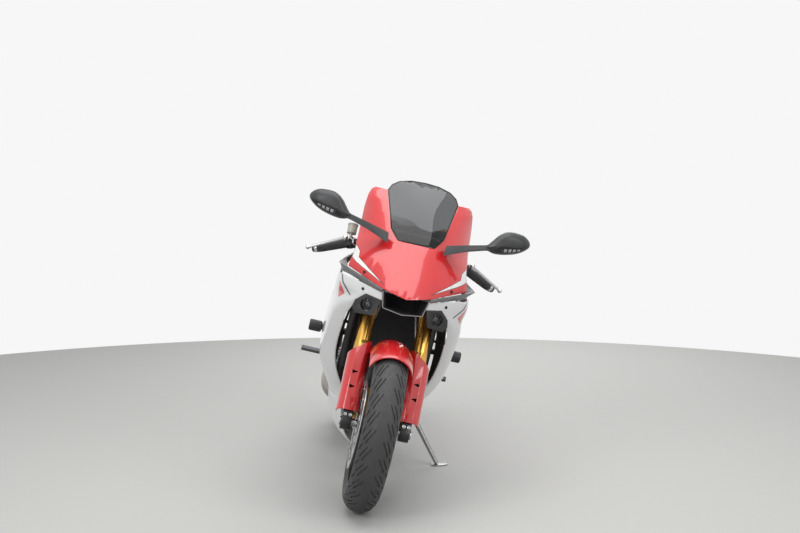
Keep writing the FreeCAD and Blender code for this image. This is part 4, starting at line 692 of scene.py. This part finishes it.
def landed(node, start, way):
    """Follow a ray in millimetres in the bike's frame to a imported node; give the place and the normal."""
    mesh = frame["nodes"][node].data
    tree = BVHTree.FromPolygons([vertex.co for vertex in mesh.vertices],
                                [tuple(face.vertices) for face in mesh.polygons])
    turn = BIKE.to_3x3()
    place, normal, _, _ = tree.ray_cast(BIKE @ spot(*start), turn @ Vector(way))
    if place is None:
        raise RuntimeError(f"the ray misses {node}")
    inward = turn.inverted() @ normal
    if inward.dot(Vector(way)) > 0:
        inward.negate()
    return tuple(BIKE.inverted() @ place * METRE), tuple(inward)


def patch(name, surface, test):
    """Give the faces of a finished piece that pass a test in the bike's frame a second surface."""
    mesh = bpy.data.objects[name].data
    inverse = BIKE.inverted()
    turn = inverse.to_3x3()
    slot = len(mesh.materials)
    mesh.materials.append(surface.material)
    for face in mesh.polygons:
        if test(inverse @ face.center * METRE, turn @ face.normal):
            face.material_index = slot


def trim(name, body, points, radius, surface):
    """Lay a round trim through points in millimetres in the bike's frame."""
    curve = bpy.data.curves.new(name, "CURVE")
    curve.dimensions = "3D"
    curve.bevel_depth = radius * MM
    curve.bevel_resolution = 3
    curve.use_fill_caps = True
    spline = curve.splines.new("NURBS")
    spline.points.add(len(points) - 1)
    for point, target in zip(points, spline.points):
        target.co = (*(BIKE @ spot(*point)), 1)
    spline.order_u = 2
    spline.use_endpoint_u = True
    piece = bpy.data.objects.new(name, curve)
    bpy.context.scene.collection.objects.link(piece)
    only(piece)
    bpy.ops.object.convert(target="MESH")
    bpy.ops.object.shade_smooth()
    settle(bpy.context.object, name, body, surface)


class BikeOperator(bpy.types.Operator):
    """Share the options of the bike's operators."""

    bl_options = {"REGISTER", "UNDO"}


class BIKE_OT_smooth_pieces(BikeOperator):
    """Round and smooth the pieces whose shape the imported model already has"""

    bl_idname = "bike.smooth_pieces"
    bl_label = "Smooth the Packed Pieces"

    def execute(self, context):
        """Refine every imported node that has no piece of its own."""
        for node in sorted(set(frame["nodes"]) - set(REMADE)):
            refine(node, sizes().edge)
        return {"FINISHED"}


class BIKE_OT_seats(BikeOperator):
    """Swell the seats' covers over their foam"""

    bl_idname = "bike.seats"
    bl_label = "Pad the Seats"

    def swell(self, piece, starts):
        """Let the cover swell under pressure for a moment, each point by no more than the setting."""
        cloth = piece.modifiers.new("Cover", "CLOTH")
        cloth.settings.use_pressure = True
        cloth.settings.uniform_pressure_force = 4
        cloth.settings.effector_weights.gravity = 0
        scene = bpy.context.scene
        for step in range(1, SEAT_FRAMES + 1):
            scene.frame_set(step)
        shape = piece.evaluated_get(bpy.context.evaluated_depsgraph_get()).data
        ends = [vertex.co.copy() for vertex in shape.vertices]
        piece.modifiers.clear()
        scene.frame_set(1)
        for vertex, start, end in zip(piece.data.vertices, starts, ends):
            move = end - start
            vertex.co = start + move * min(1.0, sizes().pad_swell / max(move.length, 0.000001))

    def pad(self, node, surface):
        """Remesh a copy of a seat, let its cover swell a little and smooth it."""
        piece = refine(node, 0)
        only(piece)
        piece.data.remesh_voxel_size = SEAT_VOXEL
        bpy.ops.object.voxel_remesh()
        vertices = piece.data.vertices
        starts = [vertex.co - vertex.normal * SEAT_SHRINK for vertex in vertices]
        for vertex, start in zip(vertices, starts):
            vertex.co = start
        self.swell(piece, starts)
        smooth = piece.modifiers.new("Smooth", "SUBSURF")
        smooth.levels = 1
        smooth.render_levels = 1
        bpy.ops.object.modifier_apply(modifier="Smooth")
        bpy.ops.object.shade_smooth()
        clothe(piece, surface)

    def execute(self, context):
        """Pad the rider's and the pillion's seat."""
        cover = seat_cover()
        self.pad("rider_seat", cover)
        self.pad("pillion_seat", cover)
        return {"FINISHED"}


class BIKE_OT_tyres(BikeOperator):
    """Turn the tyres with their grooves"""

    bl_idname = "bike.tyres"
    bl_label = "Shape the Tyres"

    def section(self, matrix, middle, crown, shoulder, bead):
        """Draw a tyre's section: the crown's arc, then both walls from the shoulder to the bead."""
        inverse = matrix.inverted()
        pose = matrix @ Matrix.Translation(spot(0, 0, middle)) @ Matrix.Rotation(math.pi / 2, 4, "X")
        bpy.ops.object.select_all(action="DESELECT")
        bpy.ops.mesh.primitive_circle_add(vertices=96, radius=crown * MM, location=pose.to_translation(),
                                          rotation=pose.to_euler())
        fixed()
        piece = bpy.context.object
        bpy.ops.object.mode_set(mode="EDIT")
        bpy.ops.mesh.select_all(action="SELECT")
        bpy.ops.mesh.bisect(plane_co=matrix @ spot(0, 0, shoulder[1]), plane_no=matrix.col[2].to_3d(),
                            clear_inner=True)
        bpy.ops.mesh.select_mode(type="VERT")
        walls = []
        for share in (0.2, 0.4, 0.6, 0.8, 1.0):
            swell = math.sin(share * math.pi) * WALL_SWELL
            walls.append((shoulder[0] + (bead[0] - shoulder[0]) * share + swell,
                          shoulder[1] + (bead[1] - shoulder[1]) * share))
        walls.append((bead[0] - 7, bead[1] - 3))

        def near(vertex, side, target):
            """Tell whether a vertex lies at a point of the section on a side."""
            local = inverse @ vertex.co * METRE
            return (Vector((local.x * side, local.z)) - Vector(target)).length < 0.4

        for side in SIDES:
            last = shoulder
            for wall in walls:
                pick_points(piece, lambda vertex: near(vertex, side, last))
                move = matrix.to_3x3() @ spot((wall[0] - last[0]) * side, 0, wall[1] - last[1])
                bpy.ops.mesh.extrude_vertices_move(TRANSFORM_OT_translate={"value": move})
                last = wall
        pick_points(piece, lambda vertex: len(vertex.link_edges) == 1)
        bpy.ops.mesh.edge_face_add()
        return piece

    def tyre(self, node, matrix, surface, radius, crown, half, bead, cuts):
        """Spin a tyre's section round its axle, sink its grooves and slant them.

        A cut gives a groove's first column and its count of columns in a block of the tread, and where
        it starts and ends over the crown.
        """
        inverse = matrix.inverted()
        columns = sizes().tread_columns
        middle = radius - crown
        shoulder = (half, middle + math.sqrt(crown ** 2 - half ** 2))
        piece = self.section(matrix, middle, crown, shoulder, bead)
        bpy.ops.mesh.select_all(action="SELECT")
        bpy.ops.mesh.spin(steps=columns, angle=2 * math.pi, center=matrix.translation, axis=ACROSS)
        bpy.ops.mesh.select_all(action="SELECT")
        bpy.ops.mesh.remove_doubles(threshold=0.00003)
        bpy.ops.mesh.normals_make_consistent(inside=False)

        def lay(local):
            """Give the turn round the axle and the distance over the crown."""
            reach = math.hypot(local.y, local.z)
            return math.atan2(local.y, local.z), crown * math.atan2(abs(local.x), max(reach - middle, 1))

        def grooved(point, normal):
            """Tell whether a face lies in one of the grooves, which alternate between the sides."""
            local = inverse @ (point * MM) * METRE
            if math.hypot(local.y, local.z) < shoulder[1]:
                return False
            turn, across = lay(local)
            column = int((turn / (2 * math.pi) + 1) * columns + 0.01)
            column += 0 if local.x > 0 else TREAD_BLOCK // 2
            return any(start <= column % TREAD_BLOCK < start + count and near < across < far
                       for start, count, near, far in cuts)

        pick(piece, grooved)
        raised(-sizes().groove_depth * METRE)
        bpy.ops.object.mode_set(mode="OBJECT")
        limit = crown * math.asin(half / crown)
        for vertex in piece.data.vertices:
            local = inverse @ vertex.co * METRE
            across = min(lay(local)[1], limit)
            swing = max(across - 5, 0) * sizes().groove_slant / radius
            vertex.co = matrix @ (Matrix.Rotation(swing, 3, "X") @ local * MM)
        only(piece)
        bpy.ops.object.shade_smooth_by_angle(angle=math.radians(38))
        settle(piece, node + "_tread", BODY_OF[node], surface)
        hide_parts(node)

    def execute(self, context):
        """Shape both tyres."""
        surface = tyre_rubber()
        self.tyre("front_tyre", BIKE, surface, radius=300, crown=62, half=60, bead=(44.5, 225),
                  cuts=((0, 4, 15, 43), (10, 3, 34, 56), (5, 3, 56, 72)))
        self.tyre("rear_tyre", REAR, surface, radius=320, crown=98, half=95, bead=(76, 225),
                  cuts=((0, 4, 24, 74), (10, 3, 54, 96), (5, 3, 92, 118)))
        return {"FINISHED"}


class BIKE_OT_headlamps(BikeOperator):
    """Fit the headlamps' glasses, reflectors and bezels"""

    bl_idname = "bike.headlamps"
    bl_label = "Fit the Headlamps"

    def execute(self, context):
        """Model one lamp and copy it to the other side."""
        body = BODY_OF["headlamp_lenses"]
        poses = paired(BIKE, [(LAMP, LAMP_WAY)])
        dish = rod(LAMP_SOCKET - 1.0, 20, -19, 48)
        front(dish)
        inset(1.4)
        raised(-6)
        narrowed(0.86)
        raised(-6)
        narrowed(0.62)
        raised(-3)
        rounded(dish, 0.3)
        repeat(dish, poses, "lamp_reflectors", body, alloy("lamp_chrome", (0.10, 0.10, 0.11), 0.16, 0.00001))
        chip = rod(7.5, 8, -18)
        front(chip)
        inset(1.6)
        raised(1.6)
        narrowed(0.7)
        rounded(chip, 0.3)
        repeat(chip, poses, "lamp_chips", body, alloy("lamp_chip", (0.34, 0.35, 0.37), 0.2, 0.00001))
        glass = rod(LAMP_SOCKET - 0.8, 4, -6, 64)
        front(glass)
        for step in (3, 4, 5):
            inset(step)
            raised(0.9)
        rounded(glass, 0.6, 3, 50)
        panes = repeat(glass, poses, "lamp_glasses", body, clear_pane("lamp_glass", (0.55, 0.57, 0.59)))
        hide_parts("headlamp_lenses")
        bezel = rod(LAMP_SOCKET + 1.8, 6, -2, 64)
        opened(bezel, 2.4)
        rounded(bezel, 0.7, 3)
        repeat(bezel, poses, "lamp_bezels", body, moulded("bezel_black", (0.01, 0.01, 0.011), 0.00002, 0.25))
        return {"FINISHED"}


class BIKE_OT_intake(BikeOperator):
    """Trim the intake's mouth and stretch its mesh"""

    bl_idname = "bike.intake"
    bl_label = "Trim the Intake"

    def execute(self, context):
        """Lay the pale edge line and fit the mesh and the foam behind it."""
        body = BODY_OF["air_intake"]
        lip = [(-across, back, up) for across, back, up in INTAKE_LIP[:0:-1]] + list(INTAKE_LIP)
        trim("intake_trim", body, lip, 1.3, moulded("pale_trim", (0.30, 0.31, 0.31), 0.00001, 0.35))
        bpy.ops.object.select_all(action="DESELECT")
        rows = 10
        bpy.ops.mesh.primitive_grid_add(x_subdivisions=26, y_subdivisions=rows, size=2)
        mesh = bpy.context.object
        floor, top = INTAKE_MESH_UPS
        for vertex in mesh.data.vertices:
            share = (vertex.co.y + 1) / 2
            half = 58 + 5.5 * share
            low = floor + 7 * abs(vertex.co.x)
            slide = 0 if round(share * rows) % 2 else 0.04 * (1 - abs(vertex.co.x))
            across = (vertex.co.x + slide) * half
            vertex.co = BIKE @ spot(across, INTAKE_MESH_BACK, low + (top - low) * share)
        only(mesh)
        wires = mesh.modifiers.new("Wires", "WIREFRAME")
        wires.thickness = 0.0013
        bpy.ops.object.modifier_apply(modifier="Wires")
        settle(mesh, "intake_mesh", body, moulded("mesh_black", (0.010, 0.010, 0.011), 0.00001, 0.6))
        foam = slab((100, 46, 4), aimed(BIKE, INTAKE_FOAM, (0, -1, 0)))
        front(foam)
        inset(4)
        raised(-1.5)
        rounded(foam, 1.0)
        settle(foam, "intake_foam", body, moulded("foam_black", (0.006, 0.006, 0.006), 0.0004, 0.8))
        return {"FINISHED"}


class BIKE_OT_cowl_vents(BikeOperator):
    """Set louvres in the side cowls' vents and a fin pack in the radiator"""

    bl_idname = "bike.cowl_vents"
    bl_label = "Fit the Louvres"

    def execute(self, context):
        """Model one louvre and copy it up both vents, then the radiator's fin pack."""
        louvre = slab((26, 46, 3))
        pick(louvre, lambda middle, normal: normal.x > FACING)
        raised(6)
        narrowed(0.86)
        rounded(louvre, 1.2, 3)
        poses = []
        for side in SIDES:
            turn = Matrix.Rotation(side * math.radians(-18), 4, "Y")
            turn = turn @ Matrix.Rotation(0 if side > 0 else math.pi, 4, "Z")
            for up in LOUVRE_UPS:
                wide = COWL_FOOT[0] + (up - COWL_FOOT[1]) * COWL_FLARE
                poses.append(BIKE @ Matrix.Translation(spot(side * (wide - 20), LOUVRE_BACK, up)) @ turn)
        black = moulded("louvre_black", (0.012, 0.012, 0.013))
        repeat(louvre, poses, "cowl_louvres", BODY_OF["side_cowls"], black)
        way = (0, -math.cos(RADIATOR_SLANT), -math.sin(RADIATOR_SLANT))
        fins = slab((270, 252, 6), aimed(BIKE, RADIATOR, way))
        front(fins)
        inset(4)
        raised(-1.5)
        rounded(fins, 0.8)
        settle(fins, "radiator_fins", BODY_OF["radiator"], finned("radiator_fins", (0.11, 0.11, 0.115)))
        return {"FINISHED"}


class BIKE_OT_bar_controls(BikeOperator):
    """Fit switches, bar ends and grip ribs"""

    bl_idname = "bike.bar_controls"
    bl_label = "Fit the Bar Controls"

    def poses(self, *alongs):
        """Give poses on both bars, their Z along the bar, at distances beyond the grip's inner end."""
        return paired(FORK, [(BAR_START + BAR_WAY * (GRIP_START + along), BAR_WAY) for along in alongs])

    def execute(self, context):
        """Model each control once and copy it to both bars."""
        body = BODY_OF["grips"]
        pod = slab((36, 34, 26))
        pick(pod, lambda middle, normal: abs(normal.z) > FACING)
        inset(4)
        raised(2.5)
        narrowed(0.92)
        rounded(pod, 3, 3)
        black = moulded("switch_black", (0.014, 0.014, 0.015))
        repeat(pod, self.poses(POD_ALONG), "switch_pods", body, black)
        button = rod(4.6, 5, 19, 24)
        front(button)
        inset(1.2)
        raised(-0.8)
        rounded(button, 0.5)
        turn = Matrix.Rotation(math.radians(-62), 4, "Z") @ Matrix.Rotation(math.pi / 2, 4, "X")
        poses = [pose @ turn for pose in self.poses(POD_ALONG - 8, POD_ALONG + 5)]
        repeat(button, poses, "switch_buttons", body, moulded("switch_red", (0.20, 0.012, 0.012)))
        rib = rod(17.3, 2.6, sides=40)
        opened(rib, 2.4)
        rounded(rib, 0.8)
        repeat(rib, self.poses(*range(8, 116, 6)), "grip_ribs", body,
               rubber("rib_rubber", (0.022, 0.022, 0.022)))
        weight = rod(15.6, 12, sides=48)
        front(weight)
        inset(4)
        raised(2.5)
        inset(2)
        raised(-3)
        rounded(weight, 0.8, 3)
        repeat(weight, self.poses(128), "bar_ends", body,
               alloy("bar_end_alloy", (0.60, 0.60, 0.61), 0.26, 0.00003))
        return {"FINISHED"}


class BIKE_OT_instruments(BikeOperator):
    """Fit the display behind the screen"""

    bl_idname = "bike.instruments"
    bl_label = "Fit the Instruments"

    def execute(self, context):
        """Frame a display on the panel's rear face."""
        way = Vector((0, math.cos(PANEL_SLANT), math.sin(PANEL_SLANT)))
        display = slab((150, 66, 5), aimed(BIKE, PANEL + way * 12.5, way))
        front(display)
        inset(4)
        raised(-2)
        inset(0.6)
        raised(0.5)
        rounded(display, 0.6)
        settle(display, "display", BODY_OF["instrument_panel"], display_glass())
        return {"FINISHED"}


class BIKE_OT_disc_buttons(BikeOperator):
    """Fit the discs' buttons and the sprocket's and hubs' bolts"""

    bl_idname = "bike.disc_buttons"
    bl_label = "Fit the Disc Buttons"

    def button(self):
        """Model a disc's button."""
        button = rod(8, 3, sides=28)
        front(button)
        inset(3)
        raised(-1.2)
        rounded(button, 0.6)
        return button

    def execute(self, context):
        """Copy one button round each disc and one bolt round each carrier."""
        discs = BODY_OF["front_discs"]
        steel = alloy("button_steel", (0.40, 0.40, 0.41), 0.3)
        fronts = [pose for side in SIDES for pose in ring(BIKE, side * DISC_BUTTON_ACROSS, 126, 10, side)]
        repeat(self.button(), fronts, "disc_buttons", discs, steel)
        rears = ring(REAR, REAR_BUTTON_ACROSS, 76, 10, -1)
        repeat(self.button(), rears, "rear_disc_buttons", BODY_OF["rear_disc"], steel)
        dark = alloy("bolt_steel", (0.22, 0.22, 0.225), 0.34)
        bolts = [pose for side in SIDES for pose in ring(BIKE, side * DISC_BOLT_ACROSS, 46, 5, side, 0.3)]
        repeat(socket_bolt(5, 1.8), bolts, "disc_bolts", discs, dark)
        outer = max((BIKE.inverted() @ Vector(corner)).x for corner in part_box("rear_sprocket")) * METRE
        repeat(socket_bolt(5.5, 5), ring(REAR, outer - 1.0, 50, 5, 1), "sprocket_bolts",
               BODY_OF["rear_sprocket"], dark)
        return {"FINISHED"}


class BIKE_OT_bolts(BikeOperator):
    """Fit the bolts of the covers, calipers, fork feet and bodywork"""

    bl_idname = "bike.bolts"
    bl_label = "Fit the Bolts"

    def execute(self, context):
        """Model a bolt for each group and copy it to its places."""
        steel = alloy("cap_bolt_steel", (0.34, 0.34, 0.35), 0.3)
        silver = alloy("silver_bolt", (0.62, 0.62, 0.63), 0.24)
        covers = []
        for side, back, up, reach, count in ENGINE_COVERS:
            for step in range(count):
                angle = 2 * math.pi * step / count
                start = (side * RAY_ACROSS, back + math.cos(angle) * reach, up + math.sin(angle) * reach)
                place, _ = landed("engine", start, (-side, 0, 0))
                covers.append(aimed(BIKE, place, (side, 0, 0)))
        repeat(socket_bolt(4.5, 4), covers, "cover_bolts", BODY_OF["engine"], steel)
        pinches = paired(FORK, [(place, (0, -1, 0)) for place in PINCH_BOLTS])
        repeat(socket_bolt(6, 3.5), pinches, "pinch_bolts", BODY_OF["fork_legs"], silver)
        calipers = paired(FORK, [(place, (1, 0, 0)) for place in CALIPER_CAPS])
        repeat(socket_bolt(11, 1.5), calipers, "caliper_caps", BODY_OF["front_calipers"], silver)
        places = [landed(node, (across, RAY_BACK, up), (0, 1, 0)) for node, across, up in COWL_BOLTS]
        repeat(socket_bolt(5.5, 2), paired(BIKE, places), "cowl_bolts", BODY_OF["nose_cowl"],
               alloy("black_bolt", (0.04, 0.04, 0.042), 0.3))
        return {"FINISHED"}


class BIKE_OT_tank_details(BikeOperator):
    """Fit the fuel cap's bolts and the top clamp's nut"""

    bl_idname = "bike.tank_details"
    bl_label = "Fit the Tank Details"

    def execute(self, context):
        """Copy a bolt round the cap and set the stem nut."""
        silver = alloy("cap_bolt_silver", (0.55, 0.55, 0.56), 0.26)
        back, up = FUEL_CAP
        bolts = []
        for step in range(6):
            angle = math.radians(60 * step + 30)
            bolts.append(aimed(BIKE, (math.cos(angle) * 34, back + math.sin(angle) * 34, up), (0, 0, 1)))
        repeat(socket_bolt(3.6, 2), bolts, "cap_bolts", BODY_OF["fuel_cap"], silver)
        nut = rod(19, 12, sides=6)
        front(nut)
        inset(3.5)
        raised(-3)
        rounded(nut, 1.2, 3)
        repeat(nut, [aimed(FORK, STEM_NUT, (0, 0, 1))], "stem_nut", BODY_OF["upper_clamp"], silver)
        return {"FINISHED"}


class BIKE_OT_finish(BikeOperator):
    """Give every piece its material"""

    bl_idname = "bike.finish"
    bl_label = "Finish the Surfaces"

    def execute(self, context):
        """Make each finish once and hand it to its pieces."""
        tint = colours()
        line_black = (0.02, 0.02, 0.022)
        stripes = ((STRIPES, line_black, STRIPE_LINE, False), (STRIPES, (0.80, 0.79, 0.77), 0, False))
        accents = ((ACCENT_LINES, line_black, ACCENT_GROWTH, False), (SIDE_PANELS, line_black, 0, True),
                   (ACCENTS, tuple(tint.red), 0, False))
        finishes = {
            paint("red_paint", tint.red): ("front_fender", "fuel_tank", "tail_cowl"),
            paint("nose_paint", tint.red, stripes): ("nose_cowl",),
            paint("white_paint", tint.white, accents): ("side_cowls", "belly_pan"),
            moulded("black_plastic", tint.black): (
                "air_intake", "rear_hugger", "plate_holder", "crash_bobbins", "instrument_panel",
                "headlamp_pods", "inner_panels"),
            moulded("satin_black", [0.012, 0.012, 0.013], 0.00002, 0.34): (
                "front_rim", "rear_rim", "main_frame", "rear_subframe", "clip_ons", "fairing_stay",
                "cowl_stays", "fork_legs"),
            moulded("trim_grey", (0.13, 0.135, 0.137), 0.00003, 0.42): ("nose_trims",),
            mirror_shell(): ("mirrors",),
            rubber("grip_rubber", (0.02, 0.02, 0.02)): ("grips",),
            ground_disc(): ("front_discs", "rear_disc"),
            turned("gold_anodising", tint.gold, 0.27, FORK, (4.0, 4.0, 0.2)): ("fork_tubes",),
            alloy("gold_alloy", tint.gold): ("front_calipers", "rear_caliper"),
            alloy("dark_alloy", (0.10, 0.10, 0.105)): (
                "engine", "lower_clamp", "upper_clamp", "swingarm", "rearsets", "radiator"),
            alloy("bright_alloy", (0.62, 0.62, 0.63), 0.3): ("levers", "fuel_cap"),
            alloy("stand_paint", (0.30, 0.30, 0.305), 0.42): ("side_stand",),
            turned("steel", (0.46, 0.46, 0.47), 0.3, BIKE, (0.3, 4.0, 4.0)): (
                "front_axle", "rear_shafts", "drive_chain", "rear_sprocket", "rear_shock"),
            alloy("titanium", (0.36, 0.33, 0.30), 0.34): ("header_pipes", "silencer"),
            braided_hose(): ("brake_hoses",),
            moulded("reservoir_plastic", (0.35, 0.34, 0.30), 0.00002, 0.3): ("brake_reservoir",),
            clear_pane("smoked_screen", (0.13, 0.136, 0.14), 0.02, SCREEN_EDGE, (0.004, 0.004, 0.004)): (
                "windscreen",),
            clear_pane("red_glass", (0.5, 0.01, 0.01), 0.08): ("tail_lamp",),
        }
        for surface, nodes in finishes.items():
            for node in nodes:
                clothe(bpy.data.objects[node + "_finished"], surface)
        inner, foot = REAR_SIGNALS
        patch("plate_holder_finished", clear_pane("amber_lens", (0.85, 0.33, 0.04), 0.12),
              lambda middle, normal: abs(middle.x) > inner and middle.z > foot and abs(normal.y) > 0.55)
        patch("mirrors_finished", alloy("mirror_glass", (0.82, 0.84, 0.85), 0.03, 0.000001),
              lambda middle, normal: abs(middle.x) > MIRROR_STEM and normal.y > 0.8)
        return {"FINISHED"}


class BIKE_OT_stage(BikeOperator):
    """Lay the floor, hang the lamps and set up the camera"""

    bl_idname = "bike.stage"
    bl_label = "Set the Stage"

    def lay_floor(self):
        """Lay a round pale carpet under the bike."""
        surface = Surface("pale_carpet", UPRIGHT, Roughness=0.9)
        fine = surface.noise(900.0, 2.0)
        clumps = surface.calc("MULTIPLY", fine, surface.noise(300.0, 1.0))
        pale = colours().carpet
        surface.colour(surface.mixed(clumps, toned(pale, 1.25), toned(pale, 0.25)))
        surface.bump(fine, 0.001, 0.4)
        bpy.ops.object.select_all(action="DESELECT")
        bpy.ops.mesh.primitive_circle_add(vertices=160, radius=sizes().floor_reach, fill_type="NGON",
                                          location=(AXLE.x, AXLE.y, 0))
        fixed()
        floor = bpy.context.object
        floor.name = "floor"
        clothe(floor, surface)

    def light(self, scene):
        """Make a white world that is brighter to the eye than as a light, and hang the lamps."""
        scene.world = bpy.data.worlds.new("studio")
        scene.world.use_nodes = True
        nodes = scene.world.node_tree.nodes
        links = scene.world.node_tree.links
        nodes.clear()
        path = nodes.new("ShaderNodeLightPath")
        seen = path.outputs["Is Camera Ray"]
        for ray in ("Is Transmission Ray", "Is Glossy Ray"):
            either = nodes.new("ShaderNodeMath")
            either.operation = "MAXIMUM"
            links.new(seen, either.inputs[0])
            links.new(path.outputs[ray], either.inputs[1])
            seen = either.outputs[0]
        strength = nodes.new("ShaderNodeMapRange")
        strength.inputs["To Min"].default_value = WORLD_LIGHT
        strength.inputs["To Max"].default_value = WORLD_SEEN
        links.new(seen, strength.inputs["Value"])
        background = nodes.new("ShaderNodeBackground")
        background.inputs["Color"].default_value = (1.0, 1.0, 1.0, 1)
        links.new(strength.outputs["Result"], background.inputs["Strength"])
        output = nodes.new("ShaderNodeOutputWorld")
        links.new(background.outputs[0], output.inputs["Surface"])
        for name, place, aim, width, power in LAMPS:
            bpy.ops.object.light_add(type="AREA", location=place)
            lamp = bpy.context.object
            lamp.name = name
            lamp.data.size = width
            lamp.data.energy = power
            lamp.rotation_euler = (Vector(aim) - Vector(place)).to_track_quat("-Z", "Y").to_euler()

    def aim_camera(self, scene):
        """Stand the camera where the photo was taken."""
        turn = Matrix.Rotation(CAMERA_TURN, 3, "Z")
        right = turn @ Vector((1, 0, 0))
        ahead = turn @ Vector((0, math.cos(CAMERA_TILT), math.sin(CAMERA_TILT)))
        pose = Matrix((right, right.cross(ahead), -ahead)).transposed().to_4x4()
        pose.translation = AXLE + CAMERA_FROM_AXLE
        bpy.ops.object.camera_add()
        camera = bpy.context.object
        camera.name = "photo_view"
        camera.matrix_world = pose
        camera.data.lens = CAMERA_LENS
        camera.data.sensor_width = CAMERA_SENSOR
        scene.camera = camera
        scene.view_settings.view_transform = "Standard"

    def execute(self, context):
        """Make the floor, the world, the lamps and the camera."""
        self.lay_floor()
        self.light(context.scene)
        self.aim_camera(context.scene)
        return {"FINISHED"}


class BIKE_PT_sidebar(bpy.types.Panel):
    """List the bike's operators and settings"""

    bl_idname = "BIKE_PT_sidebar"
    bl_label = "Sport Bike"
    bl_space_type = "VIEW_3D"
    bl_region_type = "UI"
    bl_category = "Sport Bike"

    def draw(self, context):
        """Draw a button for each step and the settings below."""
        for operator in STEPS:
            self.layout.operator(operator.bl_idname)
        for settings in (context.scene.bike_colours, context.scene.bike_sizes):
            for name in settings.__annotations__:
                self.layout.prop(settings, name)


STEPS = (
    BIKE_OT_stage,
    BIKE_OT_smooth_pieces,
    BIKE_OT_seats,
    BIKE_OT_tyres,
    BIKE_OT_headlamps,
    BIKE_OT_intake,
    BIKE_OT_cowl_vents,
    BIKE_OT_bar_controls,
    BIKE_OT_instruments,
    BIKE_OT_disc_buttons,
    BIKE_OT_bolts,
    BIKE_OT_tank_details,
    BIKE_OT_finish,
)
CLASSES = (BikeColours, BikeSizes, *STEPS, BIKE_PT_sidebar)


def register():
    """Register the classes and the settings."""
    for entry in CLASSES:
        bpy.utils.register_class(entry)
    bpy.types.Scene.bike_colours = PointerProperty(type=BikeColours)
    bpy.types.Scene.bike_sizes = PointerProperty(type=BikeSizes)


def unregister():
    """Remove the settings and the classes."""
    del bpy.types.Scene.bike_sizes
    del bpy.types.Scene.bike_colours
    for entry in reversed(CLASSES):
        bpy.utils.unregister_class(entry)


def main():
    """Dress the bike."""
    register()
    bpy.ops.bike.stage()
    bpy.ops.bike.smooth_pieces()
    bpy.ops.bike.seats()
    bpy.ops.bike.tyres()
    bpy.ops.bike.headlamps()
    bpy.ops.bike.intake()
    bpy.ops.bike.cowl_vents()
    bpy.ops.bike.bar_controls()
    bpy.ops.bike.instruments()
    bpy.ops.bike.disc_buttons()
    bpy.ops.bike.bolts()
    bpy.ops.bike.tank_details()
    bpy.ops.bike.finish()


if __name__ == "__main__":
    main()
